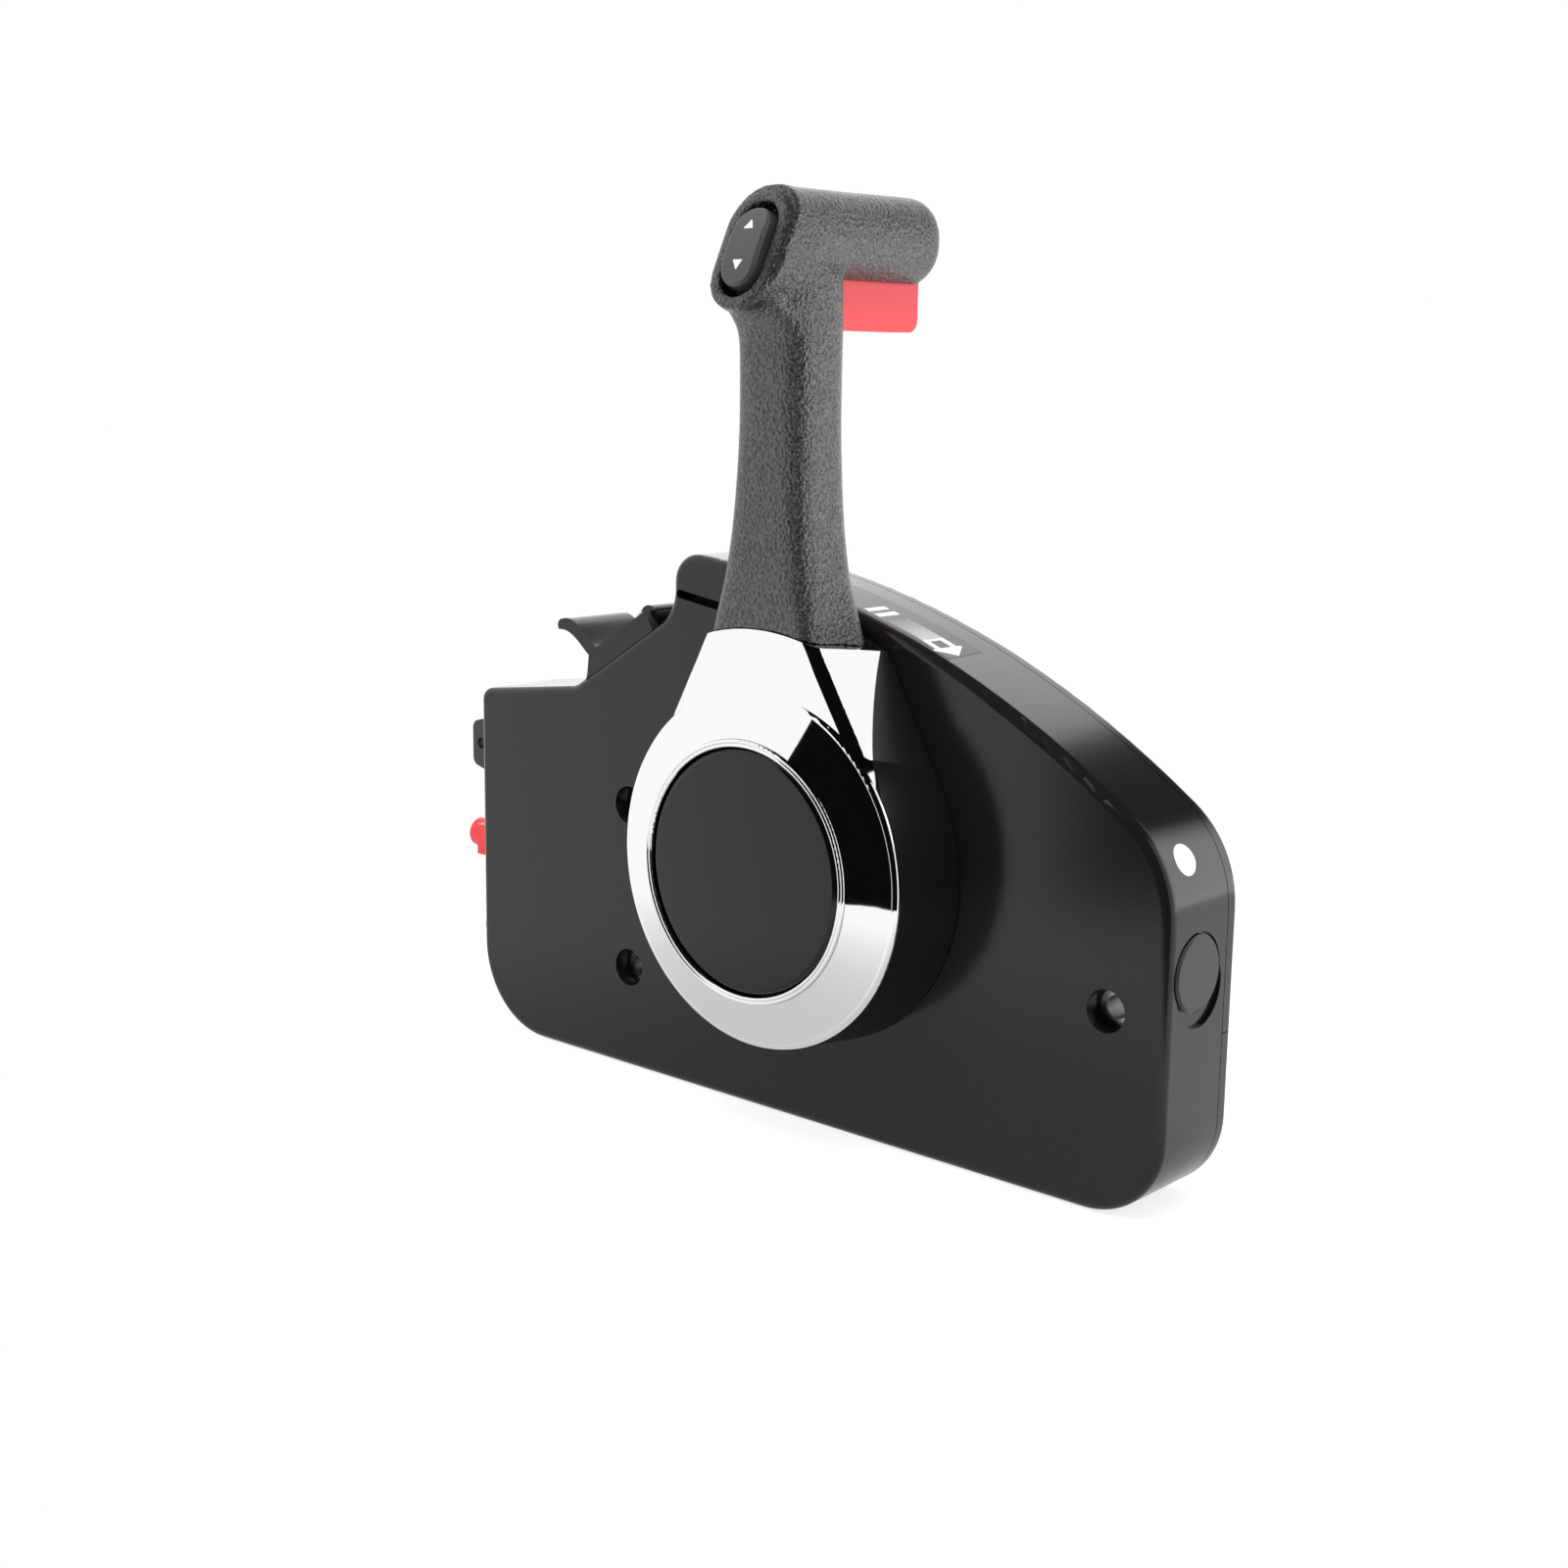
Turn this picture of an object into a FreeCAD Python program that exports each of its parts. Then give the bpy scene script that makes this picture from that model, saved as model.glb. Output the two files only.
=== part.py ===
import FreeCAD, Part
import Sketcher
import math
import os

# Side-mount boat control: a moulded case with a single lever that works shift and throttle.
# Millimetres. The origin is the lever shaft's axis on the mounting plane, +X forward, +Y into the wall, +Z up.

doc = FreeCAD.newDocument("side_mount_control")
sheet = doc.addObject("Spreadsheet::Sheet", "Sizes")
X = FreeCAD.Vector(1, 0, 0)
Y = FreeCAD.Vector(0, 1, 0)
Z = FreeCAD.Vector(0, 0, 1)

driving_sizes = {
    # Case outline, seen from the front
    "case_left": 153.5, "case_right": 126.5, "case_bottom": 85.0,
    "case_wall": 2.8, "case_edge_radius": 3.0, "left_corner_radius": 30.0, "right_corner_radius": 25.0,
    "shoulder_radius": 35.0, "roof_radius": 319.0, "roof_centre_x": 75.0, "roof_centre_z": 230.0,
    "peak_left": 60.0, "peak_radius": 9.0, "peak_hollow_radius": 13.0, "slope_foot_x": 106.7,
    "slope_foot_z": 40.7, "slope_angle": 31.6, "slope_blend_radius": 10.0, "ledge_angle": 7.0,
    "ledge_corner_radius": 4.0,
    # Covers, screws and mounting sleeves
    "cover_thickness": 5.5, "cover_gap": 3.0, "seam_gap": 0.3, "cover_split": 35.0, "cover_edge_radius": 2.4,
    "post_radius": 5.0, "screw_radius": 1.8, "screw_head_radius": 3.6, "screw_head_height": 2.4,
    "screw_length": 14.0, "screw_margin": 12.0, "mount_left_x": 79.4, "mount_top_z": 4.4, "mount_spacing": 55.0,
    "mount_right_x": 107.2, "mount_right_z": 26.2, "mount_bore_radius": 3.4, "sleeve_radius": 5.4,
    "mount_recess_radius": 6.2, "mount_recess_depth": 6.0, "mount_boss_radius": 8.4,
    # Shaft line
    "shaft_radius": 8.0, "running_clearance": 0.05, "bush_wall": 3.0, "bush_flange_radius": 14.0,
    "bush_flange_height": 1.4, "bush_length": 6.0, "shaft_height": 22.0, "shaft_rear": 2.6, "fit_clearance": 0.3,
    "bolt_head_size": 8.0, "bolt_head_height": 4.2, "shaft_chamfer": 0.8,
    # Gears, cam and detent
    "gear_module": 2.0, "drive_teeth": 18.0, "shift_teeth": 36.0, "sector_teeth": 12.0,
    "gear_thickness": 6.0, "gear_gap": 3.2, "shift_pivot_angle": 200.0, "stud_radius": 4.0,
    "arm_thickness": 3.0, "shift_arm_length": 28.0, "shift_arm_angle": 262.0, "arm_eye_radius": 5.0,
    "cable_pin_radius": 2.5, "pivot_boss_wall": 3.0,
    "cam_radius": 44.0, "cam_thickness": 5.0, "cam_gap": 0.5, "groove_depth": 3.0, "arm_gap": 1.6,
    "roller_radius": 3.5, "throttle_pivot_angle": -53.5, "throttle_pivot_distance": 52.0,
    "throttle_arm_length": 28.0, "throttle_ratio": 0.3, "throttle_start_angle": 27.0, "puller_angle": 150.0,
    "detent_radius": 20.0, "detent_thickness": 3.5, "detent_gap": 0.9, "detent_roller_radius": 3.5,
    "detent_step": 32.0, "leaf_thickness": 0.8,
    # Hub, chrome cover and cap: heights are counted out from the case's face
    "cap_radius": 37.0, "cap_height": 31.2, "cap_dome": 1.2, "cap_edge_radius": 2.2, "cap_thickness": 2.6,
    "cap_gap": 0.2, "bead_width": 2.4, "bead_height": 31.9, "ring_width": 14.4, "ring_height": 31.0,
    "hub_draft": 2.7, "hub_gap": 0.6, "hub_height": 26.2, "neck_lean": 29.2, "neck_flank_inset": 2.1,
    "neck_rise": 17.2, "neck_crown": 400.0, "neck_edge_radius": 4.2, "hub_cavity_margin": 10.7,
    "hub_floor_height": 12.0, "chrome_wall": 1.8, "chrome_skirt_start": 28.0, "rim_edge_radius": 1.5,
    # Arm and grip
    "core_disc_radius": 24.0, "core_disc_height": 21.9, "core_disc_thickness": 7.9, "core_half_width": 7.0,
    "core_bar_height": 20.0, "core_bar_thickness": 9.0, "core_top": 152.0, "core_boss_radius": 13.0,
    "arm_half_width": 13.6, "arm_height": 23.4, "arm_gap_to_case": 1.2, "arm_corner_radius": 5.5,
    "tongue_inset": 2.6, "tongue_depth": 10.0,
    "head_half_width": 13.0, "head_top": 195.9, "head_front_bottom": 161.5, "head_corner_radius": 12.0,
    "bar_bottom": 169.9, "bar_overhang": 7.0, "bar_end_radius": 5.0,
    "face_centre_height": 31.0, "face_centre_z": 178.0, "face_lean": 25.7, "face_half_width": 10.9,
    "face_half_length": 18.2, "face_step": 1.5, "rocker_half_width": 6.4, "rocker_half_length": 12.2,
    "rocker_clearance": 0.9, "rocker_end_gap": 2.4, "recess_depth": 6.0, "rocker_rise": 2.6,
    # Neutral lock trigger
    "trigger_half_width": 4.0, "trigger_bottom": 156.4, "trigger_top": 177.0, "trigger_inset": 1.7,
    "trigger_corner_radius": 4.0, "trigger_travel": 6.0, "rod_radius": 1.8, "rod_height": 6.5,
    "stop_plate_radius": 30.0, "stop_plate_thickness": 3.2, "lock_half_width": 3.5, "lock_height": 8.0,
    "spring_bottom": 100.0, "spring_top": 120.0, "spring_radius": 2.6, "spring_wire": 0.4, "spring_turns": 8.0,
    # Fast idle paddle on the slope
    "paddle_inset": 4.0, "paddle_rear": 4.2, "paddle_thickness": 4.0, "paddle_pin_radius": 2.0,
    "paddle_barrel_radius": 4.0, "paddle_hinge_along": 41.0, "paddle_hinge_up": 4.6, "guide_height": 6.0,
    "guide_width": 3.2,
    # Left end: key switch, stop switch and cable outlet
    "end_axis_y": 18.0, "key_z": 11.8, "key_barrel_radius": 9.0, "key_barrel_length": 34.0,
    "stop_z": 21.4, "stop_barrel_radius": 6.0, "stop_barrel_length": 26.0, "stop_travel": 2.5,
    "grommet_z": 50.6, "grommet_y": 18.8, "grommet_height": 13.4, "grommet_width": 25.4,
    "grommet_reach": 3.2, "cable_bore_radius": 3.3,
    # Right end: friction adjuster and its plug
    "adjuster_y": 20.5, "adjuster_z": 14.6, "plug_radius": 11.0, "adjuster_radius": 2.6,
    "shoe_length": 8.0, "shoe_gap": 1.1, "bracket_offset": 22.0, "bracket_length": 6.0,
    # Electrics and the sound slot
    "slot_height": 2.7, "slot_length": 22.0, "slot_tilt": 8.5, "buzzer_radius": 8.6, "buzzer_height": 8.0,
}


class Size:
    """A length that carries both its value and the sheet expression that gives it."""

    def __init__(self, value, text):
        self.value = value
        self.text = text

    def __float__(self):
        return float(self.value)

    def __neg__(self):
        return Size(-self.value, f"(-{self.text})")

    def __add__(self, other):
        return Size(self.value + float(other), f"({self.text} + {text_of(other)})")

    def __radd__(self, other):
        return self + other

    def __sub__(self, other):
        return Size(self.value - float(other), f"({self.text} - {text_of(other)})")

    def __rsub__(self, other):
        return Size(float(other) - self.value, f"({text_of(other)} - {self.text})")

    def __mul__(self, other):
        return Size(self.value * float(other), f"({self.text} * {text_of(other)})")

    def __rmul__(self, other):
        return self * other

    def __truediv__(self, other):
        return Size(self.value / float(other), f"({self.text} / {text_of(other)})")


def text_of(amount):
    """The expression of a size, or a plain number as text."""
    return amount.text if isinstance(amount, Size) else repr(float(amount))


def cosine(degrees):
    return Size(math.cos(math.radians(float(degrees))), f"cos({text_of(degrees)})")


def sine(degrees):
    return Size(math.sin(math.radians(float(degrees))), f"sin({text_of(degrees)})")


def square_root(amount):
    return Size(math.sqrt(float(amount)), f"sqrt({text_of(amount)})")


def fill_sheet():
    """Writes each driving size to the sheet and returns them as sizes by name."""
    known = {}
    for row, (name, value) in enumerate(driving_sizes.items(), start=1):
        sheet.set(f"A{row}", name)
        sheet.set(f"B{row}", repr(value))
        sheet.setAlias(f"B{row}", name)
        known[name] = Size(value, f"Sizes.{name}")
    doc.recompute()
    return known


s = fill_sheet()
sub_parts = []


def point(x, y, z):
    return FreeCAD.Vector(float(x), float(y), float(z))


def bind(item, prop, amount):
    item.setExpression(prop, text_of(amount))


def place(item, x, y, z, rotation=None):
    """Turns the item, and binds its position to the sheet."""
    item.Placement = FreeCAD.Placement(point(x, y, z), rotation or FreeCAD.Rotation())
    for axis, amount in (("x", x), ("y", y), ("z", z)):
        bind(item, f"Placement.Base.{axis}", amount)
    return item


def finish(label, item):
    """Names a finished piece, whose label also names its file."""
    item.Label = label
    sub_parts.append(item)
    return item


def block(x0, x1, y0, y1, z0, z1):
    """A block between two corners, given as low and high along each axis."""
    item = doc.addObject("Part::Box", "block")
    for prop, low, high in (("Length", x0, x1), ("Width", y0, y1), ("Height", z0, z1)):
        bind(item, prop, high - low)
    return place(item, x0, y0, z0)


def rod(radius, length, x, y, z, rotation):
    item = doc.addObject("Part::Cylinder", "rod")
    bind(item, "Radius", radius)
    bind(item, "Height", length)
    return place(item, x, y, z, rotation)


def rod_y(radius, x, z, y0, y1):
    return rod(radius, y1 - y0, x, y0, z, FreeCAD.Rotation(X, -90))


def rod_x(radius, y, z, x0, x1):
    return rod(radius, x1 - x0, x0, y, z, FreeCAD.Rotation(Y, 90))


def rod_z(radius, x, y, z0, z1):
    return rod(radius, z1 - z0, x, y, z0, None)


def joined(pieces):
    """One solid from several that meet."""
    item = doc.addObject("Part::MultiFuse", "joined")
    item.Shapes = pieces
    item.Refine = True
    return item


def cut(base, tools, refine=True):
    """The base with every tool taken out of it."""
    item = doc.addObject("Part::Cut", "cut")
    item.Base = base
    item.Tool = tools[0] if len(tools) == 1 else joined(tools)
    item.Refine = refine
    return item


def common(base, tool):
    item = doc.addObject("Part::Common", "common")
    item.Base, item.Tool = base, tool
    item.Refine = True
    return item


def grouped(pieces):
    """Separate solids that share one sub-part, such as a set of screws."""
    item = doc.addObject("Part::Compound", "group")
    item.Links = pieces
    return item


def rounded(base, radius, chosen):
    """The base with the chosen edges rounded."""
    doc.recompute()
    item = doc.addObject("Part::Fillet", "rounded")
    item.Base = base
    item.Edges = [(i + 1, float(radius), float(radius)) for i, edge in enumerate(base.Shape.Edges) if chosen(edge)]
    return item


def formed(shape):
    """A form that comes from an outline of arcs, a loft or a formula."""
    item = doc.addObject("Part::Feature", "form")
    item.Shape = shape
    item.Placement = shape.Placement
    return item


def new_sketch(body, role):
    """A sketch on one of the body's own origin planes."""
    plane = [feature for feature in body.Origin.OriginFeatures if feature.Role == role][0]
    sketch = body.newObject("Sketcher::SketchObject", "profile")
    sketch.AttachmentSupport = [(plane, "")]
    sketch.MapMode = "FlatFace"
    sketch.Visibility = False
    return sketch


def hold_point(sketch, edge, end, across, up):
    """Ties one sketch point to the sketch's origin at a bound distance each way."""
    for kind, axis, amount in (("DistanceX", -2, across), ("DistanceY", -1, up)):
        if abs(float(amount)) < 1e-9:
            sketch.addConstraint(Sketcher.Constraint("PointOnObject", edge, end, axis))
        else:
            index = sketch.addConstraint(Sketcher.Constraint(kind, -1, 1, edge, end, float(amount)))
            bind(sketch, f"Constraints[{index}]", amount)


def draw_polygon(sketch, corners):
    """A closed polygon whose corners are bound one by one."""
    count = len(corners)
    for i in range(count):
        sketch.addGeometry(Part.LineSegment(point(*corners[i], 0), point(*corners[(i + 1) % count], 0)), False)
    for i in range(count):
        sketch.addConstraint(Sketcher.Constraint("Coincident", i, 2, (i + 1) % count, 1))
    for i, (across, up) in enumerate(corners):
        hold_point(sketch, i, 1, across, up)


def turned(profile, along="Y", x=0.0, y=0.0, z=0.0):
    """A lathe part: profile corners are (radius, position) and turn about Y, or about X."""
    body = doc.addObject("PartDesign::Body", "turned")
    sketch = new_sketch(body, "XY_Plane")
    draw_polygon(sketch, profile if along == "Y" else [(position, radius) for radius, position in profile])
    turn = body.newObject("PartDesign::Revolution", "turn")
    turn.Profile = sketch
    turn.ReferenceAxis = (sketch, ["V_Axis" if along == "Y" else "H_Axis"])
    turn.Angle = 360.0
    return place(body, x, y, z)


def tube(inner, outer, start, end):
    return [(inner, start), (outer, start), (outer, end), (inner, end)]


def plate(corners, front, back, x=0.0, z=0.0):
    """A flat piece parallel to the case's face: corners are (x, z) about the place given."""
    body = doc.addObject("PartDesign::Body", "plate")
    sketch = new_sketch(body, "XZ_Plane")
    draw_polygon(sketch, corners)
    pad = body.newObject("PartDesign::Pad", "pad")
    pad.Profile = sketch
    bind(pad, "Length", back - front)
    return place(body, x, back, z)


def polar(radius, degrees):
    """The (x, z) place at a radius and an angle from +X towards +Z."""
    return radius * cosine(degrees), radius * sine(degrees)


def rounded_corner(before, corner, after, radius):
    """Start, middle and end of the arc that rounds a corner."""
    back = (before - corner).normalize()
    ahead = (after - corner).normalize()
    half = back.getAngle(ahead) / 2
    reach = float(radius) / math.tan(half)
    centre = corner + (back + ahead).normalize() * (float(radius) / math.sin(half))
    middle = centre + (corner - centre).normalize() * float(radius)
    return corner + back * reach, middle, corner + ahead * reach


def closed_wire(steps):
    """One closed wire from arcs, each given by three points, joined by straight lines."""
    edges = []
    for i, step in enumerate(steps):
        edges.append(Part.Arc(*step).toShape())
        start, end = step[-1], steps[(i + 1) % len(steps)][0]
        if start.distanceToPoint(end) > 1e-7:
            edges.append(Part.makeLine(start, end))
    return Part.Wire(edges)


def rounded_wire(corners, radius):
    """A closed wire through the corners, each rounded by the same radius."""
    count = len(corners)
    return closed_wire([rounded_corner(corners[i - 1], corners[i], corners[(i + 1) % count], radius)
                        for i in range(count)])


def extruded(wire, direction):
    return Part.Face(wire).extrude(direction)


def case_outline(y):
    """The case seen from the front, as a closed wire at depth y."""
    left, right, bottom = -float(s["case_left"]), float(s["case_right"]), -float(s["case_bottom"])
    foot = point(-s["slope_foot_x"], y, s["slope_foot_z"])
    rise = math.tan(math.radians(float(s["slope_angle"])))
    drop = math.tan(math.radians(float(s["ledge_angle"])))
    wall_x = -float(s["peak_left"])
    low_left = point(left, y, bottom)
    low_right = point(right, y, bottom)
    ledge_end = point(left, y, foot.z - drop * (foot.x - left))
    hollow = point(wall_x, y, foot.z + rise * (wall_x - foot.x))
    roof = point(-s["roof_centre_x"], y, -s["roof_centre_z"])
    roof_radius = float(s["roof_radius"])

    def under_roof(x, radius):
        """Centre of a circle of that radius that touches the roof arc from below."""
        return point(x, y, roof.z + math.sqrt((roof_radius - radius) ** 2 - (x - roof.x) ** 2))

    def on_circle(centre, radius, direction):
        return centre + direction.normalize() * radius

    shoulder_radius, peak_radius = float(s["shoulder_radius"]), float(s["peak_radius"])
    shoulder = under_roof(right - shoulder_radius, shoulder_radius)
    peak = under_roof(wall_x + peak_radius, peak_radius)
    shoulder_top = on_circle(shoulder, shoulder_radius, shoulder - roof)
    peak_top = on_circle(peak, peak_radius, peak - roof)
    roof_middle = on_circle(roof, roof_radius, (shoulder_top + peak_top) * 0.5 - roof)
    return closed_wire([
        rounded_corner(ledge_end, low_left, low_right, s["left_corner_radius"]),
        rounded_corner(low_left, low_right, point(right, y, 0), s["right_corner_radius"]),
        (shoulder + X * shoulder_radius,
         on_circle(shoulder, shoulder_radius, X + (shoulder - roof).normalize()), shoulder_top),
        (shoulder_top, roof_middle, peak_top),
        (peak_top, on_circle(peak, peak_radius, (peak - roof).normalize() - X), peak - X * peak_radius),
        rounded_corner(point(wall_x, y, peak.z), hollow, foot, s["peak_hollow_radius"]),
        rounded_corner(hollow, foot, ledge_end, s["slope_blend_radius"]),
        rounded_corner(foot, ledge_end, low_left, s["ledge_corner_radius"]),
    ])


def case_slab(y0, y1, inset=0.0):
    """The case outline as a solid between two depths, pulled in by inset."""
    face = Part.Face(case_outline(float(y0)))
    if float(inset) > 0:
        face = face.makeOffset2D(-float(inset))
    return face.extrude(point(0, y1 - y0, 0))


def lies_at(y):
    """A test for edges that lie wholly at depth y."""
    return lambda edge: (abs(edge.BoundBox.YMin - float(y)) < 1e-4 and abs(edge.BoundBox.YMax - float(y)) < 1e-4)


# Places worked out from the sheet. The case is as deep as what stands behind one another in it.
stack = ("case_wall", "gear_gap", "gear_thickness", "cam_gap", "cam_thickness", "arm_gap", "arm_thickness",
         "detent_gap", "detent_thickness", "cover_gap", "cover_thickness")
case_depth = s[stack[0]]
for name in stack[1:]:
    case_depth = case_depth + s[name]
case_front = -case_depth
inner_front = case_front + s["case_wall"]
gear_front = inner_front + s["gear_gap"]
gear_back = gear_front + s["gear_thickness"]
cam_front = gear_back + s["cam_gap"]
cam_back = cam_front + s["cam_thickness"]
arm_front = cam_back + s["arm_gap"]
arm_back = arm_front + s["arm_thickness"]
detent_front = arm_back + s["detent_gap"]
detent_back = detent_front + s["detent_thickness"]
seam = -s["cover_thickness"]
cover_face = seam + s["seam_gap"]
left_end = -s["case_left"]
bush_radius = s["shaft_radius"] + s["bush_wall"]
bore_radius = s["shaft_radius"] + s["running_clearance"]
bracket_start = s["mount_right_x"] - s["bracket_offset"]
pivot_boss_radius = s["stud_radius"] + s["pivot_boss_wall"]
margin = s["screw_margin"]
mount_places = [(-s["mount_left_x"], s["mount_top_z"]), (-s["mount_left_x"], s["mount_top_z"] - s["mount_spacing"]),
                (s["mount_right_x"], -s["mount_right_z"])]
roof_top = s["roof_radius"] - s["roof_centre_z"]
upper_screws = [(left_end + 3.6 * margin, s["slope_foot_z"] - 1.4 * margin),
                (-s["peak_left"] + 2.9 * margin, roof_top - 1.4 * margin),
                (s["case_right"] - 6.8 * margin, s["mount_top_z"] + 4.6 * margin),
                (s["case_right"] - margin, s["mount_top_z"] + 0.4 * margin),
                (left_end + 3.0 * margin, -s["cover_split"] + margin)]
lower_screws = [(left_end + 2.0 * margin, -s["case_bottom"] + margin),
                (-0.6 * margin, -s["case_bottom"] + margin),
                (s["case_right"] - 1.6 * margin, -s["case_bottom"] + margin)]
gear_distance = s["gear_module"] * (s["drive_teeth"] + s["shift_teeth"]) / 2
shift_pivot = polar(gear_distance, s["shift_pivot_angle"])
throttle_pivot = polar(s["throttle_pivot_distance"], s["throttle_pivot_angle"])
hub_front = case_front - s["hub_height"]
ring_front = case_front - s["ring_height"]
bead_front = case_front - s["bead_height"]
cap_front = case_front - s["cap_height"]
bead_inner = s["cap_radius"] + s["cap_gap"]
ring_inner = bead_inner + s["bead_width"]
rim_radius = ring_inner + s["ring_width"]
base_radius = rim_radius + s["hub_draft"]
neck_top_radius = rim_radius + s["neck_rise"]
neck_foot = base_radius * sine(s["neck_lean"])
neck_corner = neck_top_radius - 5.5
cavity_radius = base_radius - s["hub_cavity_margin"]
hub_floor = case_front - s["hub_floor_height"]
core_disc_front = case_front - s["core_disc_height"]
core_disc_back = core_disc_front + s["core_disc_thickness"]
core_bar_front = case_front - s["core_bar_height"]
core_bar_back = core_bar_front + s["core_bar_thickness"]
shaft_front = case_front - s["shaft_height"]
grip_front = case_front - s["arm_height"]
grip_back = case_front - s["arm_gap_to_case"]
bar_end = s["bar_overhang"]
trigger_rear = bar_end - s["trigger_inset"]
lock_rod_y = case_front - s["rod_height"]
paddle_front = case_front + s["paddle_inset"]
face_normal = FreeCAD.Vector(0, -math.cos(math.radians(float(s["face_lean"]))),
                             math.sin(math.radians(float(s["face_lean"]))))
face_up = FreeCAD.Vector(0, face_normal.z, -face_normal.y)
face_turn = FreeCAD.Rotation(X, face_up, face_normal, "XYZ")


def on_slope(along, up):
    """The (x, z) place given along and above the case's sloping shoulder."""
    angle = s["slope_angle"]
    return (-s["slope_foot_x"] + along * cosine(angle) - up * sine(angle),
            s["slope_foot_z"] + along * sine(angle) + up * cosine(angle))


paddle_hinge = on_slope(s["paddle_hinge_along"], s["paddle_hinge_up"])


def paddle_guide(front, back):
    """A raised rail on the slope that carries one end of the paddle's pin."""
    end = s["paddle_hinge_along"] + 2.6
    corners = [on_slope(along, up) for along, up in
               ((7.0, -1.0), (end, -1.0), (end, s["guide_height"]), (13.0, s["guide_height"]), (8.6, 0.4))]
    return plate(corners, front, back)


def end_oblong(grow, x0, x1):
    """The outline of the cable outlet in the left end wall, as a solid along X."""
    half = s["grommet_height"] / 2 + grow
    reach = (s["grommet_width"] - s["grommet_height"]) / 2
    axis_y, axis_z = -s["grommet_y"], -s["grommet_z"]
    ends = [rod_x(half, axis_y + side * reach, axis_z, x0, x1) for side in (-1.0, 1.0)]
    return joined(ends + [block(x0, x1, axis_y - reach, axis_y + reach, axis_z - half, axis_z + half)])


def sound_slot():
    """The narrow slot through the front wall below the peak, in line with the roof."""
    half, length, tilt = s["slot_height"] / 2, s["slot_length"], s["slot_tilt"]
    x, z = -s["peak_left"] + 3.4, roof_top - 13.6
    front, back = case_front - 1.0, inner_front + 1.0
    bar = plate([(-half * sine(tilt), -half * cosine(tilt)),
                 (length * cosine(tilt) - half * sine(tilt), -length * sine(tilt) - half * cosine(tilt)),
                 (length * cosine(tilt) + half * sine(tilt), -length * sine(tilt) + half * cosine(tilt)),
                 (half * sine(tilt), half * cosine(tilt))], front, back, x, z)
    ends = [rod_y(half, x, z, front, back),
            rod_y(half, x + length * cosine(tilt), z - length * sine(tilt), front, back)]
    return joined([bar] + ends)


def front_housing():
    """Moulded front shell: flat face, rounded front edge, open at the back, with posts and bosses."""
    outer = rounded(formed(case_slab(case_front, seam)), s["case_edge_radius"], lies_at(case_front))
    shell = cut(outer, [formed(case_slab(inner_front, seam + 1.0, s["case_wall"]))])
    root = inner_front - 0.5
    bosses = [rod_y(s["mount_boss_radius"], x, z, root, seam) for x, z in mount_places]
    bosses += [rod_y(s["post_radius"], x, z, root, seam) for x, z in upper_screws + lower_screws]
    bosses.append(rod_y(bush_radius + 4.0, 0.0, 0.0, root, inner_front + 1.6))
    bosses += [rod_y(pivot_boss_radius, x, z, root, inner_front + 1.6) for x, z in (shift_pivot, throttle_pivot)]
    bosses.append(block(bracket_start, bracket_start + s["bracket_length"], root, -s["adjuster_y"] + 8.0,
                        -s["adjuster_z"] - 7.0, -s["adjuster_z"] + 7.0))
    guide_back = paddle_front - s["fit_clearance"]
    bosses.append(paddle_guide(guide_back - s["guide_width"], guide_back))
    cuts = [rod_y(s["sleeve_radius"] + s["running_clearance"], x, z, case_front - 1.0, seam + 1.0)
            for x, z in mount_places]
    cuts += [rod_y(s["mount_recess_radius"], x, z, case_front - 1.0, case_front + s["mount_recess_depth"])
             for x, z in mount_places]
    cuts += [rod_y(s["screw_radius"], x, z, seam - s["screw_length"], seam + 1.0)
             for x, z in upper_screws + lower_screws]
    cuts.append(rod_y(bush_radius, 0.0, 0.0, case_front - 1.0, seam))
    cuts += [rod_y(s["stud_radius"], x, z, inner_front - 1.2, seam) for x, z in (shift_pivot, throttle_pivot)]
    cuts.append(rod_x(s["adjuster_radius"] + 0.06, -s["adjuster_y"], -s["adjuster_z"], bracket_start - 1.0,
                      bracket_start + s["bracket_length"] + 1.0))
    cuts.append(rod_x(s["plug_radius"] - 1.5, -s["adjuster_y"], -s["adjuster_z"], s["case_right"] - 5.0,
                      s["case_right"] + 1.0))
    cuts.append(rod_x(s["plug_radius"] + 0.8, -s["adjuster_y"], -s["adjuster_z"], s["case_right"] - 1.2,
                      s["case_right"] + 1.0))
    notch_radius, notch_z = s["plug_radius"] + 0.4, s["adjuster_z"] + 4.4
    cuts.append(rod_x(notch_radius, -s["adjuster_y"] + 1.5, -notch_z, s["case_right"] - 1.2, s["case_right"] + 1.0))
    inside = left_end + s["case_wall"] + 3.0
    cuts.append(rod_x(s["key_barrel_radius"] + 0.1, -s["end_axis_y"], s["key_z"], left_end - 1.0, inside))
    cuts.append(rod_x(s["stop_barrel_radius"] + 0.1, -s["end_axis_y"], -s["stop_z"], left_end - 1.0, inside))
    cuts.append(end_oblong(-1.5, left_end - 1.0, inside))
    cuts.append(sound_slot())
    x, z = paddle_hinge
    cuts.append(rod_y(s["paddle_pin_radius"], x, z, case_front + 0.6, paddle_front + 1.0))
    finish("front_housing", cut(joined([shell] + bosses), cuts))


def screw_holes(places):
    """Clearance holes with counterbores for the cover screws."""
    holes = []
    for x, z in places:
        holes.append(rod_y(s["screw_radius"] + 0.2, x, z, cover_face - 1.0, 1.0))
        holes.append(rod_y(s["screw_head_radius"] + 0.2, x, z, -s["screw_head_height"] - 0.6, 1.0))
    return holes


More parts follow.
